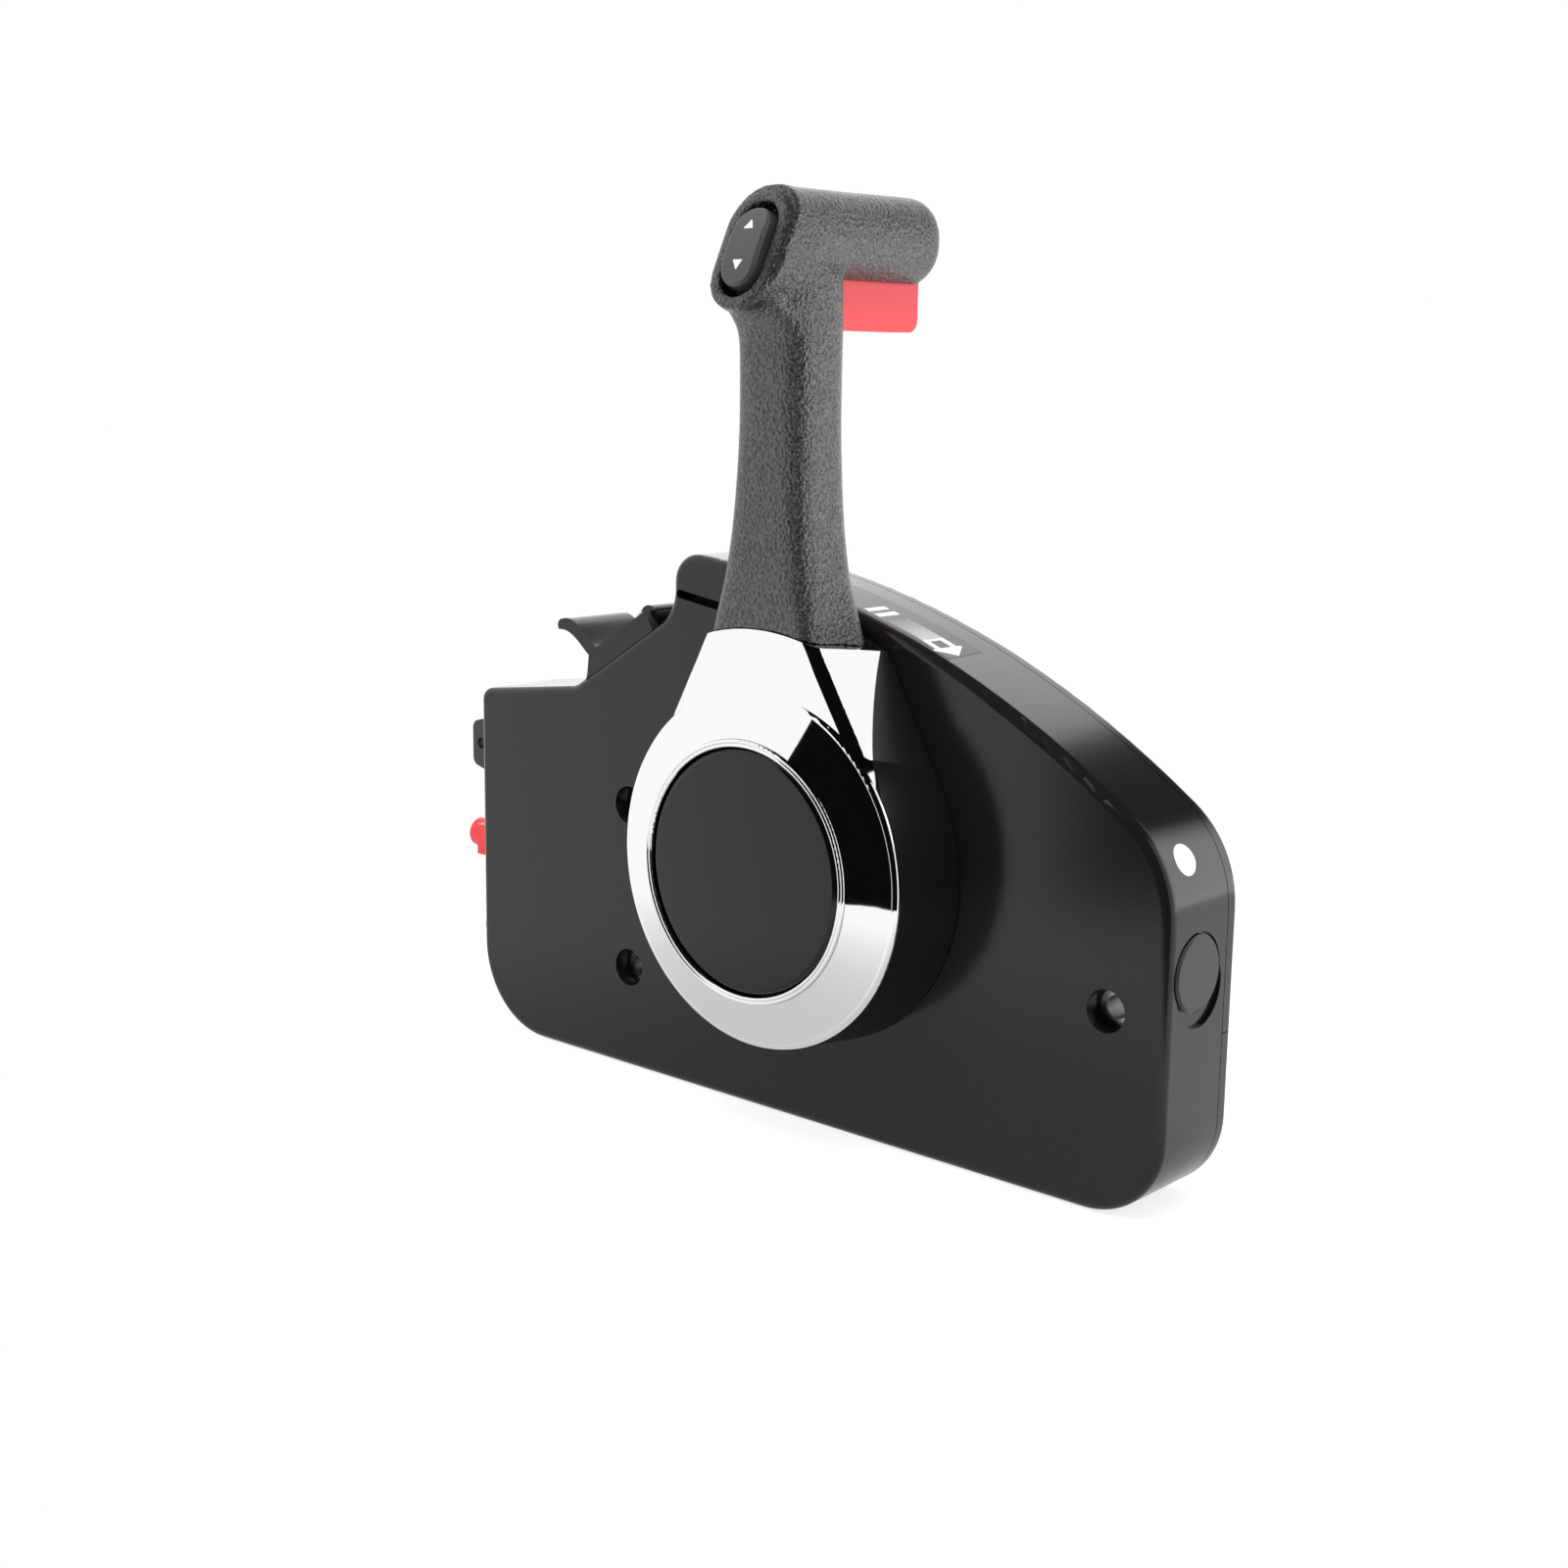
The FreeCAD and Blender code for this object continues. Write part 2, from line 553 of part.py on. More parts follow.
def rear_covers():
    """The two moulded plates that close the back, split below the shaft line."""
    slab = rounded(formed(case_slab(cover_face, 0.0)), s["cover_edge_radius"], lies_at(0.0))
    reach = s["case_left"] + s["case_right"]
    gap = s["seam_gap"] / 2
    upper = common(slab, block(-reach, reach, -10.0, 10.0, -s["cover_split"] + gap, reach))
    lower = common(slab, block(-reach, reach, -10.0, 10.0, -reach, -s["cover_split"] - gap))
    guide = paddle_guide(-s["paddle_rear"] + s["fit_clearance"], -0.6)
    sleeves = [rod_y(s["sleeve_radius"] + 0.1, x, z, cover_face - 1.0, 1.0) for x, z in mount_places]
    bush_seat = rod_y(bush_radius, 0.0, 0.0, cover_face - 1.0, -2.0)
    pin_seat = rod_y(s["paddle_pin_radius"], *paddle_hinge, -s["paddle_rear"] - 1.0, -1.6)
    finish("rear_cover_upper", cut(joined([upper, guide]), [sleeves[0], sleeves[2], bush_seat, pin_seat]
                                   + screw_holes(upper_screws)))
    finish("rear_cover_lower", cut(lower, [sleeves[1]] + screw_holes(lower_screws)))


def cover_screw(x, z):
    """One pan-head screw with a cross recess, its head sunk in the rear cover."""
    face = -0.6
    under = face - s["screw_head_height"]
    head = rod_y(s["screw_head_radius"], x, z, under, face)
    shank = rod_y(s["screw_radius"] - s["running_clearance"], x, z, under - s["screw_length"], under)
    arm, half = s["screw_head_radius"] * 0.6, 0.5
    cross = [block(x - arm, x + arm, face - 1.2, 0.0, z - half, z + half),
             block(x - half, x + half, face - 1.2, 0.0, z - arm, z + arm)]
    return cut(joined([head, shank]), cross)


def mount_sleeves():
    """Steel sleeves that take the mounting bolts; the left pair share one sub-part."""
    start = case_front + s["mount_recess_depth"]
    sleeves = [cut(rod_y(s["sleeve_radius"], x, z, start, 0.0), [rod_y(s["mount_bore_radius"], x, z, start - 1.0, 1.0)])
               for x, z in mount_places]
    finish("left_mount_sleeves", grouped(sleeves[:2]))
    finish("right_mount_sleeve", sleeves[2])


def shaft_line():
    """The shaft, its two bushes, and the washer and bolt that hold the lever on."""
    flange_face = case_front - s["bush_flange_height"]
    back = flange_face + s["bush_length"]
    finish("front_bush", turned([(bore_radius, flange_face), (s["bush_flange_radius"], flange_face),
                                 (s["bush_flange_radius"], case_front), (bush_radius, case_front),
                                 (bush_radius, back), (bore_radius, back)]))
    finish("rear_bush", turned(tube(bore_radius, bush_radius, seam - 1.0, -2.0)))
    radius, chamfer = s["shaft_radius"], s["shaft_chamfer"]
    front, rear = shaft_front, -s["shaft_rear"]
    finish("main_shaft", turned([(0.0, front), (radius - chamfer, front), (radius, front + chamfer),
                                 (radius, rear - chamfer), (radius - chamfer, rear), (0.0, rear)]))
    seat = core_disc_front - 0.1
    finish("hub_washer", turned(tube(0.5 * radius + 0.3, 1.6 * radius, seat - 2.0, seat)))
    hexagon = [polar(s["bolt_head_size"], 60.0 * k) for k in range(6)]
    head = plate(hexagon, seat - 2.0 - s["bolt_head_height"], seat - 2.0)
    finish("hub_bolt", joined([head, rod_y(0.5 * radius, 0.0, 0.0, seat - 2.1, front - 0.02)]))


def gear_outline(teeth, y, first, count, start_angle, centre=None):
    """A wire of involute teeth, closed round the root circle, or by way of the centre for a sector."""
    module = float(s["gear_module"])
    pitch = module * teeth / 2
    tip, root = pitch + 0.95 * module, pitch - 1.25 * module
    pressure = math.radians(20.0)
    base = pitch * math.cos(pressure)
    backlash = 0.36
    half_at_base = (math.pi * module / 2 - backlash) / (2 * pitch) + math.tan(pressure) - pressure

    def half_angle(radius):
        if radius <= base:
            return half_at_base
        turn = math.acos(base / radius)
        return half_at_base - (math.tan(turn) - turn)

    def spot(radius, angle):
        return point(radius * math.cos(angle), y, radius * math.sin(angle))

    step = 2 * math.pi / teeth
    radii = [root, (root + pitch) / 2, pitch, (pitch + tip) / 2, tip]
    edges = []
    for k in range(first, first + count):
        middle = start_angle + k * step
        rising = [spot(r, middle - half_angle(r)) for r in radii]
        falling = [spot(r, middle + half_angle(r)) for r in reversed(radii)]
        edges.append(Part.Arc(*rising[0:3]).toShape())
        edges.append(Part.Arc(*rising[2:5]).toShape())
        edges.append(Part.Arc(rising[4], spot(tip, middle), falling[0]).toShape())
        edges.append(Part.Arc(*falling[0:3]).toShape())
        edges.append(Part.Arc(*falling[2:5]).toShape())
        if centre is None or k < first + count - 1:
            next_root = spot(root, middle + step - half_angle(root))
            edges.append(Part.Arc(falling[4], spot(root, middle + step / 2), next_root).toShape())
    if centre is not None:
        edges.append(Part.makeLine(edges[-1].Vertexes[-1].Point, centre))
        edges.append(Part.makeLine(centre, edges[0].Vertexes[0].Point))
    return Part.Wire(edges)


def lever_arm(pivot, angle, length, front):
    """A flat arm from a pivot boss to an eye, tapering along its length."""
    eye = polar(length, angle)
    wide, narrow = polar(pivot_boss_radius, angle + 90.0), polar(s["arm_eye_radius"], angle + 90.0)
    corners = [wide, (-wide[0], -wide[1]), (eye[0] - narrow[0], eye[1] - narrow[1]),
               (eye[0] + narrow[0], eye[1] + narrow[1])]
    back = front + s["arm_thickness"]
    blade = plate(corners, front, back, pivot[0], pivot[1])
    place_of_eye = (pivot[0] + eye[0], pivot[1] + eye[1])
    return [blade, rod_y(s["arm_eye_radius"], *place_of_eye, front, back)], place_of_eye


def cable_pin(eye, front):
    """A headed pin that takes the cable's end."""
    radius = s["cable_pin_radius"] - 0.02
    back = front + s["arm_thickness"] + 5.0
    return joined([rod_y(radius, *eye, front, back), rod_y(radius + 1.4, *eye, back, back + 1.2)])


def pivot_stud(pivot, arm_back):
    """A fixed stud in the case's front wall, with a head past the arm it carries."""
    end = arm_back + 0.4
    return joined([rod_y(s["stud_radius"] - 0.02, *pivot, inner_front - 1.2, end),
                   rod_y(s["stud_radius"] + 1.6, *pivot, end, end + 1.2)])


def shift_gears():
    """The drive gear on the shaft and the toothed sector that it turns, with the sector's arm."""
    front, back = gear_front, gear_back
    direction = math.radians(float(s["shift_pivot_angle"]))
    thickness = Y * float(s["gear_thickness"])
    teeth = round(float(s["drive_teeth"]))
    wheel = formed(extruded(gear_outline(teeth, float(front), 0, teeth, direction), thickness))
    finish("drive_gear", cut(wheel, [rod_y(bore_radius, 0.0, 0.0, front - 1.0, back + 1.0)]))

    teeth, count = round(float(s["shift_teeth"])), round(float(s["sector_teeth"]))
    start = direction + math.pi + math.pi / teeth
    outline = gear_outline(teeth, float(front), -count // 2, count, start, point(0, front, 0))
    outline.translate(point(shift_pivot[0], 0, shift_pivot[1]))
    sector = formed(extruded(outline, thickness))
    hub = rod_y(pivot_boss_radius, *shift_pivot, front, back + s["arm_thickness"])
    arm, eye = lever_arm(shift_pivot, s["shift_arm_angle"], s["shift_arm_length"], back)
    holes = [rod_y(s["stud_radius"] + s["running_clearance"], *shift_pivot, front - 1.0, 0.0),
             rod_y(s["cable_pin_radius"], *eye, back - 1.0, 0.0)]
    finish("shift_sector", cut(joined([sector, hub] + arm), holes, refine=False))
    finish("shift_cable_pin", cable_pin(eye, back))
    finish("shift_stud", pivot_stud(shift_pivot, back + s["arm_thickness"]))


def roller_place(lever_degrees):
    """Where the throttle roller stands when the lever is turned by that angle."""
    angle = float(s["throttle_pivot_angle"]) + 180.0 + float(s["throttle_start_angle"])
    angle -= float(s["throttle_ratio"]) * lever_degrees
    pivot = point(throttle_pivot[0], 0, throttle_pivot[1])
    reach = float(s["throttle_arm_length"])
    return pivot + point(math.cos(math.radians(angle)), 0, math.sin(math.radians(angle))) * reach


def groove_form(radius, y, depth):
    """The cam groove: the roller's path seen from the turning cam, as wide as the radius each side."""
    low, high, steps = -63.0, 88.0, 15
    centres = []
    for k in range(steps + 1):
        lever = low + (high - low) * k / steps
        turn = FreeCAD.Rotation(Y, -lever)
        centres.append(turn.multVec(roller_place(lever)) + Y * y)
    path = Part.BSplineCurve()
    path.interpolate(centres)
    inner, outer = [], []
    for k in range(steps + 1):
        where = path.FirstParameter + (path.LastParameter - path.FirstParameter) * k / steps
        side = path.tangent(where)[0].cross(Y).normalize() * radius
        inner.append(path.value(where) + side)
        outer.append(path.value(where) - side)
    rails = []
    for spots in (inner, outer[::-1]):
        rail = Part.BSplineCurve()
        rail.interpolate(spots)
        rails.append(rail.toShape())
    ahead = path.tangent(path.LastParameter)[0] * radius
    behind = path.tangent(path.FirstParameter)[0] * -radius
    far_cap = Part.Arc(inner[-1], centres[-1] + ahead, outer[-1]).toShape()
    near_cap = Part.Arc(outer[0], centres[0] + behind, inner[0]).toShape()
    return extruded(Part.Wire([rails[0], far_cap, rails[1], near_cap]), Y * depth)


def throttle_train():
    """The grooved cam on the shaft and the roller arm that follows its groove."""
    front, floor = cam_front, cam_back - s["groove_depth"]
    disc = joined([rod_y(s["cam_radius"], 0.0, 0.0, front, cam_back),
                   rod_y(bush_radius + 3.0, 0.0, 0.0, front - 0.3, cam_back + 1.0)])
    groove = formed(groove_form(float(s["roller_radius"] + s["fit_clearance"]), float(floor), 6.0))
    finish("throttle_cam", cut(disc, [groove, rod_y(bore_radius, 0.0, 0.0, front - 1.0, cam_back + 2.0)]))

    inward = s["throttle_pivot_angle"] + 180.0 + s["throttle_start_angle"]
    follower, roller_at = lever_arm(throttle_pivot, inward, s["throttle_arm_length"], arm_front)
    puller, eye = lever_arm(throttle_pivot, inward + s["puller_angle"], s["throttle_arm_length"] - 4.0, arm_front)
    axle_radius = s["cable_pin_radius"] - 0.7
    axle = rod_y(axle_radius, *roller_at, floor + 0.6, arm_back)
    hub = rod_y(pivot_boss_radius, *throttle_pivot, arm_front, arm_back)
    holes = [rod_y(s["stud_radius"] + s["running_clearance"], *throttle_pivot, arm_front - 1.0, 0.0),
             rod_y(s["cable_pin_radius"], *eye, arm_front - 1.0, 0.0)]
    finish("throttle_arm", cut(joined([hub, axle] + follower + puller), holes))
    finish("throttle_roller", cut(rod_y(s["roller_radius"], *roller_at, floor + 0.5, arm_front - 0.4),
                                  [rod_y(axle_radius + s["running_clearance"], *roller_at, floor, arm_front)]))
    finish("throttle_cable_pin", cable_pin(eye, arm_front))
    finish("throttle_stud", pivot_stud(throttle_pivot, arm_back))


def detent():
    """Notched disc on the shaft, with the roller on its leaf spring that holds neutral, ahead and astern."""
    front, back = detent_front, detent_back
    reach = s["detent_radius"] + s["detent_roller_radius"] - 1.6
    notches = [rod_y(s["detent_roller_radius"] + 0.2, *polar(reach, s["detent_step"] * k + 180.0),
                     front - 1.0, back + 1.0) for k in (-1.0, 0.0, 1.0)]
    bore = rod_y(bore_radius, 0.0, 0.0, front - 1.0, back + 1.0)
    finish("detent_disc", cut(rod_y(s["detent_radius"], 0.0, 0.0, front, back), notches + [bore]))
    roller_x = -(s["detent_radius"] + s["detent_roller_radius"] + s["fit_clearance"])
    finish("detent_roller", cut(rod_y(s["detent_roller_radius"], roller_x, 0.0, front, back),
                                [rod_y(1.2, roller_x, 0.0, front - 1.0, back + 1.0)]))
    leaf_x, foot_z, thin = roller_x - 4.3, -34.0, s["leaf_thickness"]
    leaf = block(leaf_x - thin, leaf_x, front, back + thin, foot_z, 3.0)
    foot = block(leaf_x - 8.0, leaf_x + 4.0, front, cover_face, foot_z - 6.0, foot_z)
    fork = block(leaf_x - 0.2, roller_x + 1.0, back, back + thin, -1.6, 1.6)
    finish("detent_spring", joined([leaf, foot, fork, rod_y(1.15, roller_x, 0.0, front, back + thin)]))


def hub_share(y):
    """How far a depth is on the way from the case's face to the hub's rim."""
    return (y - case_front) / (hub_front - case_front)


def hub_disc(front, inset=0.0):
    """The drafted round body of the hub from the case out to a depth, pulled in by inset."""
    back = case_front - s["hub_gap"]

    def radius(y):
        return base_radius - s["hub_draft"] * hub_share(y).value - inset

    return turned([(0.0, back), (radius(back), back), (radius(front), front), (0.0, front)])


def neck_section(y, inset):
    """The neck's two leaning flanks at depth y, as a trapezoid that stands in the hub and passes its top."""
    lean = math.radians(float(s["neck_lean"]))
    share = float(hub_share(y))
    reach = float(base_radius) * (1 - share) + float(rim_radius - s["neck_flank_inset"]) * share - float(inset)
    low, high = float(neck_foot), float(neck_top_radius) + 9.0
    wide, narrow = [(reach - z * math.sin(lean)) / math.cos(lean) for z in (low, high)]
    corners = [point(-wide, y, low), point(wide, y, low), point(narrow, y, high), point(-narrow, y, high)]
    return Part.makePolygon(corners + corners[:1])


def neck(inset=0.0):
    """The drafted neck: crowned in front, its top an arc about the shaft, its long front edges rounded."""
    back = case_front - s["hub_gap"]
    flanks = formed(Part.makeLoft([neck_section(back, inset), neck_section(hub_front - 4.0, inset)], True, True))
    crown = rod_z(s["neck_crown"] - inset, 0.0, hub_front + s["neck_crown"], 0.0, neck_top_radius + 20.0)
    body = common(common(flanks, rod_y(neck_top_radius - inset, 0.0, 0.0, hub_front - 10.0, case_front)), crown)
    return rounded(body, s["neck_edge_radius"] - inset,
                   lambda edge: edge.BoundBox.ZLength > 25 and edge.BoundBox.YMax < float(hub_front) + 8.0)


def chrome_zone(offset):
    """Everything in front of the curve where the chrome cover's skirt ends, moved back by offset."""
    start, top = float(s["chrome_skirt_start"]), float(neck_corner)
    edge, far = float(hub_front) + float(s["chrome_wall"]) + offset, float(case_front) - 3.0 + offset
    bend = point(0, (edge + far) / 2 - 1.8, (start + top) / 2)
    low, high, front = -90.0, 120.0, -90.0
    return extruded(Part.Wire([
        Part.makeLine(point(-80, front, low), point(-80, edge, low)),
        Part.makeLine(point(-80, edge, low), point(-80, edge, start)),
        Part.Arc(point(-80, edge, start), bend - X * 80, point(-80, far, top)).toShape(),
        Part.makeLine(point(-80, far, top), point(-80, far, high)),
        Part.makeLine(point(-80, far, high), point(-80, front, high)),
        Part.makeLine(point(-80, front, high), point(-80, front, low))]), X * 160)


def arm_sections(grow=0.0):
    """Cross-sections of the arm from its flared foot up into the head."""
    half, front, back = float(s["arm_half_width"]), float(grip_front), float(grip_back)
    foot, head = float(neck_corner) - 3.6, float(s["bar_bottom"]) + 4.0
    rows = [(foot, half + 7.0, half + 15.6, front - 2.8, back - 1.0),
            (foot + 18.0, half + 3.7, half + 6.4, front - 1.9, back - 0.4),
            (foot + 38.0, half + 1.3, half + 1.6, front - 0.8, back),
            (foot + 63.0, half, half, front - 0.1, back),
            (head, half - 0.4, half - 0.4, front, back)]
    return [rounded_wire([point(-a - grow, f - grow, z), point(a + grow, f - grow, z),
                          point(b + grow, g + grow, z), point(-b - grow, g + grow, z)],
                         float(s["arm_corner_radius"]) + min(grow, 0.0)) for z, a, b, f, g in rows]


def arm_tongue(gap):
    """The reduced foot of the arm that plugs into the neck, grown by a gap for its socket."""
    inset = float(s["tongue_inset"])
    half, front, back = 14.0 - inset + gap, float(grip_front) + 0.6 - gap, float(grip_back) - 3.0 + gap
    low, high = float(neck_corner) - float(s["tongue_depth"]) - gap, float(neck_top_radius) + 8.0
    return [block(-half, half, front, back, low, high)]


def hub_and_chrome():
    """The black hub moulding and the chromed cover over its front and its neck."""
    wall, rim, ring = s["chrome_wall"], rim_radius - s["rim_edge_radius"], ring_inner
    body = joined([rounded(hub_disc(hub_front), s["rim_edge_radius"], lies_at(hub_front)), neck()])
    cone = turned([(0.0, hub_front + 1.0), (rim, hub_front + 1.0), (rim, hub_front),
                   (ring, ring_front), (0.0, ring_front)])
    cone_room = turned([(0.0, hub_front + 2.0), (rim - 6.0, hub_front + 2.0),
                        (rim - 6.0, hub_front + wall), (ring, ring_front + wall + 0.2),
                        (0.0, ring_front + wall + 0.2)])
    cover = common(joined([body, cone]), formed(chrome_zone(0.0)))
    inside = joined([hub_disc(hub_front + wall, wall), neck(wall)])
    finish("chrome_cover", cut(cover, [inside, cone_room, rod_y(ring, 0.0, 0.0, -80.0, 0.0)] + arm_tongue(0.15)))

    slack = wall + 0.1
    core = joined([hub_disc(hub_front + slack, slack), neck(slack)])
    hub = joined([cut(body, [formed(chrome_zone(0.1))]), core])
    half, nose = s["lock_half_width"] + 0.6, s["lock_height"]
    bottom = s["stop_plate_radius"]
    finish("lever_hub", cut(hub, [
        rod_y(cavity_radius, 0.0, 0.0, hub_floor, case_front),
        rod_y(s["core_disc_radius"] + 0.1, 0.0, 0.0, -80.0, hub_floor + 1.0),
        core_bar(0.15, -20.0), rod_channel(),
        block(-half, half, lock_rod_y - 3.4, case_front, bottom - 4.0, bottom + nose + s["trigger_travel"] + 5.0)]
        + arm_tongue(0.15)))


def core_bar(gap, bottom):
    """The bar of the inner arm, grown by a gap for its slot."""
    return block(-s["core_half_width"] - gap, s["core_half_width"] + gap, core_bar_front - gap,
                 core_bar_back + gap, bottom, s["core_top"] + gap)


def rod_channel():
    """The bore that the lock rod slides in, with the wider chamber of its spring."""
    return joined([rod_z(s["rod_radius"] + 0.8, 0.0, lock_rod_y, 40.0, s["trigger_top"] + s["trigger_travel"] + 4.0),
                   rod_z(s["spring_radius"] + s["spring_wire"] + 0.5, 0.0, lock_rod_y,
                         s["spring_bottom"] - 2.0, s["spring_top"])])


def lever_core():
    """Cast inner arm: the disc and boss on the shaft and the bar that runs up inside the grip."""
    disc = rod_y(s["core_disc_radius"], 0.0, 0.0, core_disc_front, core_disc_back)
    boss = rod_y(s["core_boss_radius"], 0.0, 0.0, core_disc_back - 1.0,
                 case_front - s["bush_flange_height"] - 0.6)
    bore = rod_y(s["shaft_radius"] + 0.02, 0.0, 0.0, core_disc_front - 5.0, 0.0)
    finish("lever_core", cut(joined([disc, boss, core_bar(0.0, 8.0)]), [bore]))


def head_block(front, back, low, high, radius):
    """A rounded bar along Y: its section has the head's width and stands from low to high."""
    half = s["head_half_width"]
    corners = [point(-half, front, low), point(half, front, low), point(half, front, high), point(-half, front, high)]
    return formed(extruded(rounded_wire(corners, radius), point(0, back - front, 0)))


def face_spot(up, out):
    """A point given up along the leaning switch face and out from it."""
    centre = point(0, case_front - s["face_centre_height"], s["face_centre_z"])
    return centre + face_up * float(up) + face_normal * float(out)


def face_oblong(half_width, half_length, out0, out1):
    """A stadium-shaped solid that stands on the leaning switch face."""
    radius, straight = float(half_width), float(half_length) - float(half_width)
    low, high = face_spot(-straight, out0), face_spot(straight, out0)
    side, end = X * radius, face_up * radius
    wire = Part.Wire([Part.makeLine(low + side, high + side), Part.Arc(high + side, high + end, high - side).toShape(),
                      Part.makeLine(high - side, low - side), Part.Arc(low - side, low - end, low + side).toShape()])
    return formed(extruded(wire, face_normal * (float(out1) - float(out0))))


def face_block(half_width, half_length, out0, out1):
    """A block on the leaning switch face, given by its half sizes and its heights."""
    item = doc.addObject("Part::Box", "face_block")
    bind(item, "Length", half_width * 2)
    bind(item, "Width", half_length * 2)
    bind(item, "Height", out1 - out0)
    item.Placement = FreeCAD.Placement(face_spot(-half_length, out0) - X * float(half_width), face_turn)
    return item


def handle_grip():
    """The textured moulding: arm, head with the leaning switch face, and the cross bar."""
    arm = cut(formed(Part.makeLoft(arm_sections(), True, False)),
              [rod_y(neck_top_radius + 0.15, 0.0, 0.0, hub_front - 20.0, 0.0)])
    head = head_block(-90.0, grip_back - 11.0, s["head_front_bottom"], s["head_top"], s["head_corner_radius"])
    bar = head_block(grip_back - 14.0, bar_end, s["bar_bottom"], s["head_top"], s["head_corner_radius"])
    bar = rounded(bar, s["bar_end_radius"], lies_at(bar_end))
    half = float(s["head_half_width"]) - 1.2
    top, back = float(s["head_front_bottom"]) + 2.0, float(grip_front) + 3.0
    low, tip = point(-half, back - 3.0, top - 9.5), point(-half, back - 11.5, top)
    bend = (low + tip) * 0.5 + point(0, -2.0, 2.0) * -1.0
    chin = formed(extruded(Part.Wire([
        Part.Arc(low, bend, tip).toShape(), Part.makeLine(tip, point(-half, back, top)),
        Part.makeLine(point(-half, back, top), point(-half, back, low.z)),
        Part.makeLine(point(-half, back, low.z), low)]), X * (2 * half)))
    width = s["trigger_half_width"] + 0.4
    slot = block(-width, width, lock_rod_y - 2.6, trigger_rear + 0.5, s["trigger_bottom"] - 0.4,
                 s["trigger_top"] + s["trigger_travel"] + 0.6)
    recess = face_oblong(s["rocker_half_width"] + s["rocker_clearance"],
                         s["rocker_half_length"] + s["rocker_end_gap"], -s["recess_depth"], 5.0)
    lean = face_block(Size(40.0, "40"), Size(60.0, "60"), -s["face_step"], Size(60.0, "60"))
    collar = face_oblong(s["face_half_width"], s["face_half_length"], -4.0, 0.0)
    moulding = cut(joined([arm, head, bar, chin] + arm_tongue(0.0)), [lean])
    finish("handle_grip", cut(joined([moulding, collar]),
                              [recess, switch_block(0.1), slot, core_bar(0.15, 30.0), rod_channel()]))


def switch_block(gap):
    top = -s["recess_depth"]
    return face_block(Size(6.0, "6") + gap, Size(11.0, "11") + gap, top - 10.0 - gap, top)


def trim_switch():
    """The trim switch: its body with a saddle under the recess, and the crowned rocker that tilts on it."""
    axis_out = float(-s["recess_depth"]) + 1.6
    pin_radius = 1.5

    def trunnion(radius):
        item = doc.addObject("Part::Cylinder", "trunnion")
        item.Radius, item.Height = radius, 8.0
        item.Placement = FreeCAD.Placement(face_spot(0, axis_out) - X * 4.0, FreeCAD.Rotation(Y, 90))
        return item

    saddle = face_block(Size(3.2, "3.2"), Size(3.5, "3.5"), -s["recess_depth"] - 0.1, -s["recess_depth"] + 1.6)
    finish("trim_switch_body", cut(joined([switch_block(0.0), saddle]),
                                   [trunnion(pin_radius + float(s["running_clearance"]))]))
    rise, crown_radius = float(s["rocker_rise"]), 46.0
    crown = doc.addObject("Part::Cylinder", "crown")
    crown.Radius, crown.Height = crown_radius, 40.0
    crown.Placement = FreeCAD.Placement(face_spot(0, rise - crown_radius) - X * 20.0, FreeCAD.Rotation(Y, 90))
    key = common(face_oblong(s["rocker_half_width"], s["rocker_half_length"], -3.4, rise), crown)
    centre = face_spot(0, 0)

    def on_top(edge):
        heights = [(vertex.Point - centre).dot(face_normal) for vertex in edge.Vertexes]
        return min(heights) > rise - 4.0 and edge.BoundBox.DiagonalLength > 3.0

    finish("trim_rocker", joined([rounded(key, 1.2, on_top), trunnion(pin_radius)]))


def hub_trim():
    """The gloss cap and the bright double bead round it."""
    radius, edge, dome = s["cap_radius"], s["cap_edge_radius"], s["cap_dome"]
    front = cap_front - dome
    disc = rod_y(radius, 0.0, 0.0, front, cap_front + s["cap_thickness"])
    ball_radius = (radius * radius + dome * dome) / (dome * 2)
    ball = doc.addObject("Part::Sphere", "dome")
    bind(ball, "Radius", ball_radius)
    place(ball, 0.0, front + ball_radius, 0.0)
    cap = common(disc, ball)
    finish("hub_cap", rounded(cap, edge, lambda e: e.BoundBox.YMax < float(cap_front) + 0.5
                              and e.BoundBox.XLength > 1.9 * float(radius)))
    inner, outer, top = bead_inner, ring_inner - 0.1, bead_front
    small = (outer - inner) / 4
    foot = turned(tube(inner, outer, top + small, hub_front + 1.0))
    beads = []
    for offset in (1.0, 3.0):
        bead = doc.addObject("Part::Torus", "bead")
        bind(bead, "Radius1", inner + small * offset)
        bind(bead, "Radius2", small)
        beads.append(place(bead, 0.0, top + small, 0.0, FreeCAD.Rotation(X, 90)))
    finish("cap_bead", joined([foot] + beads))


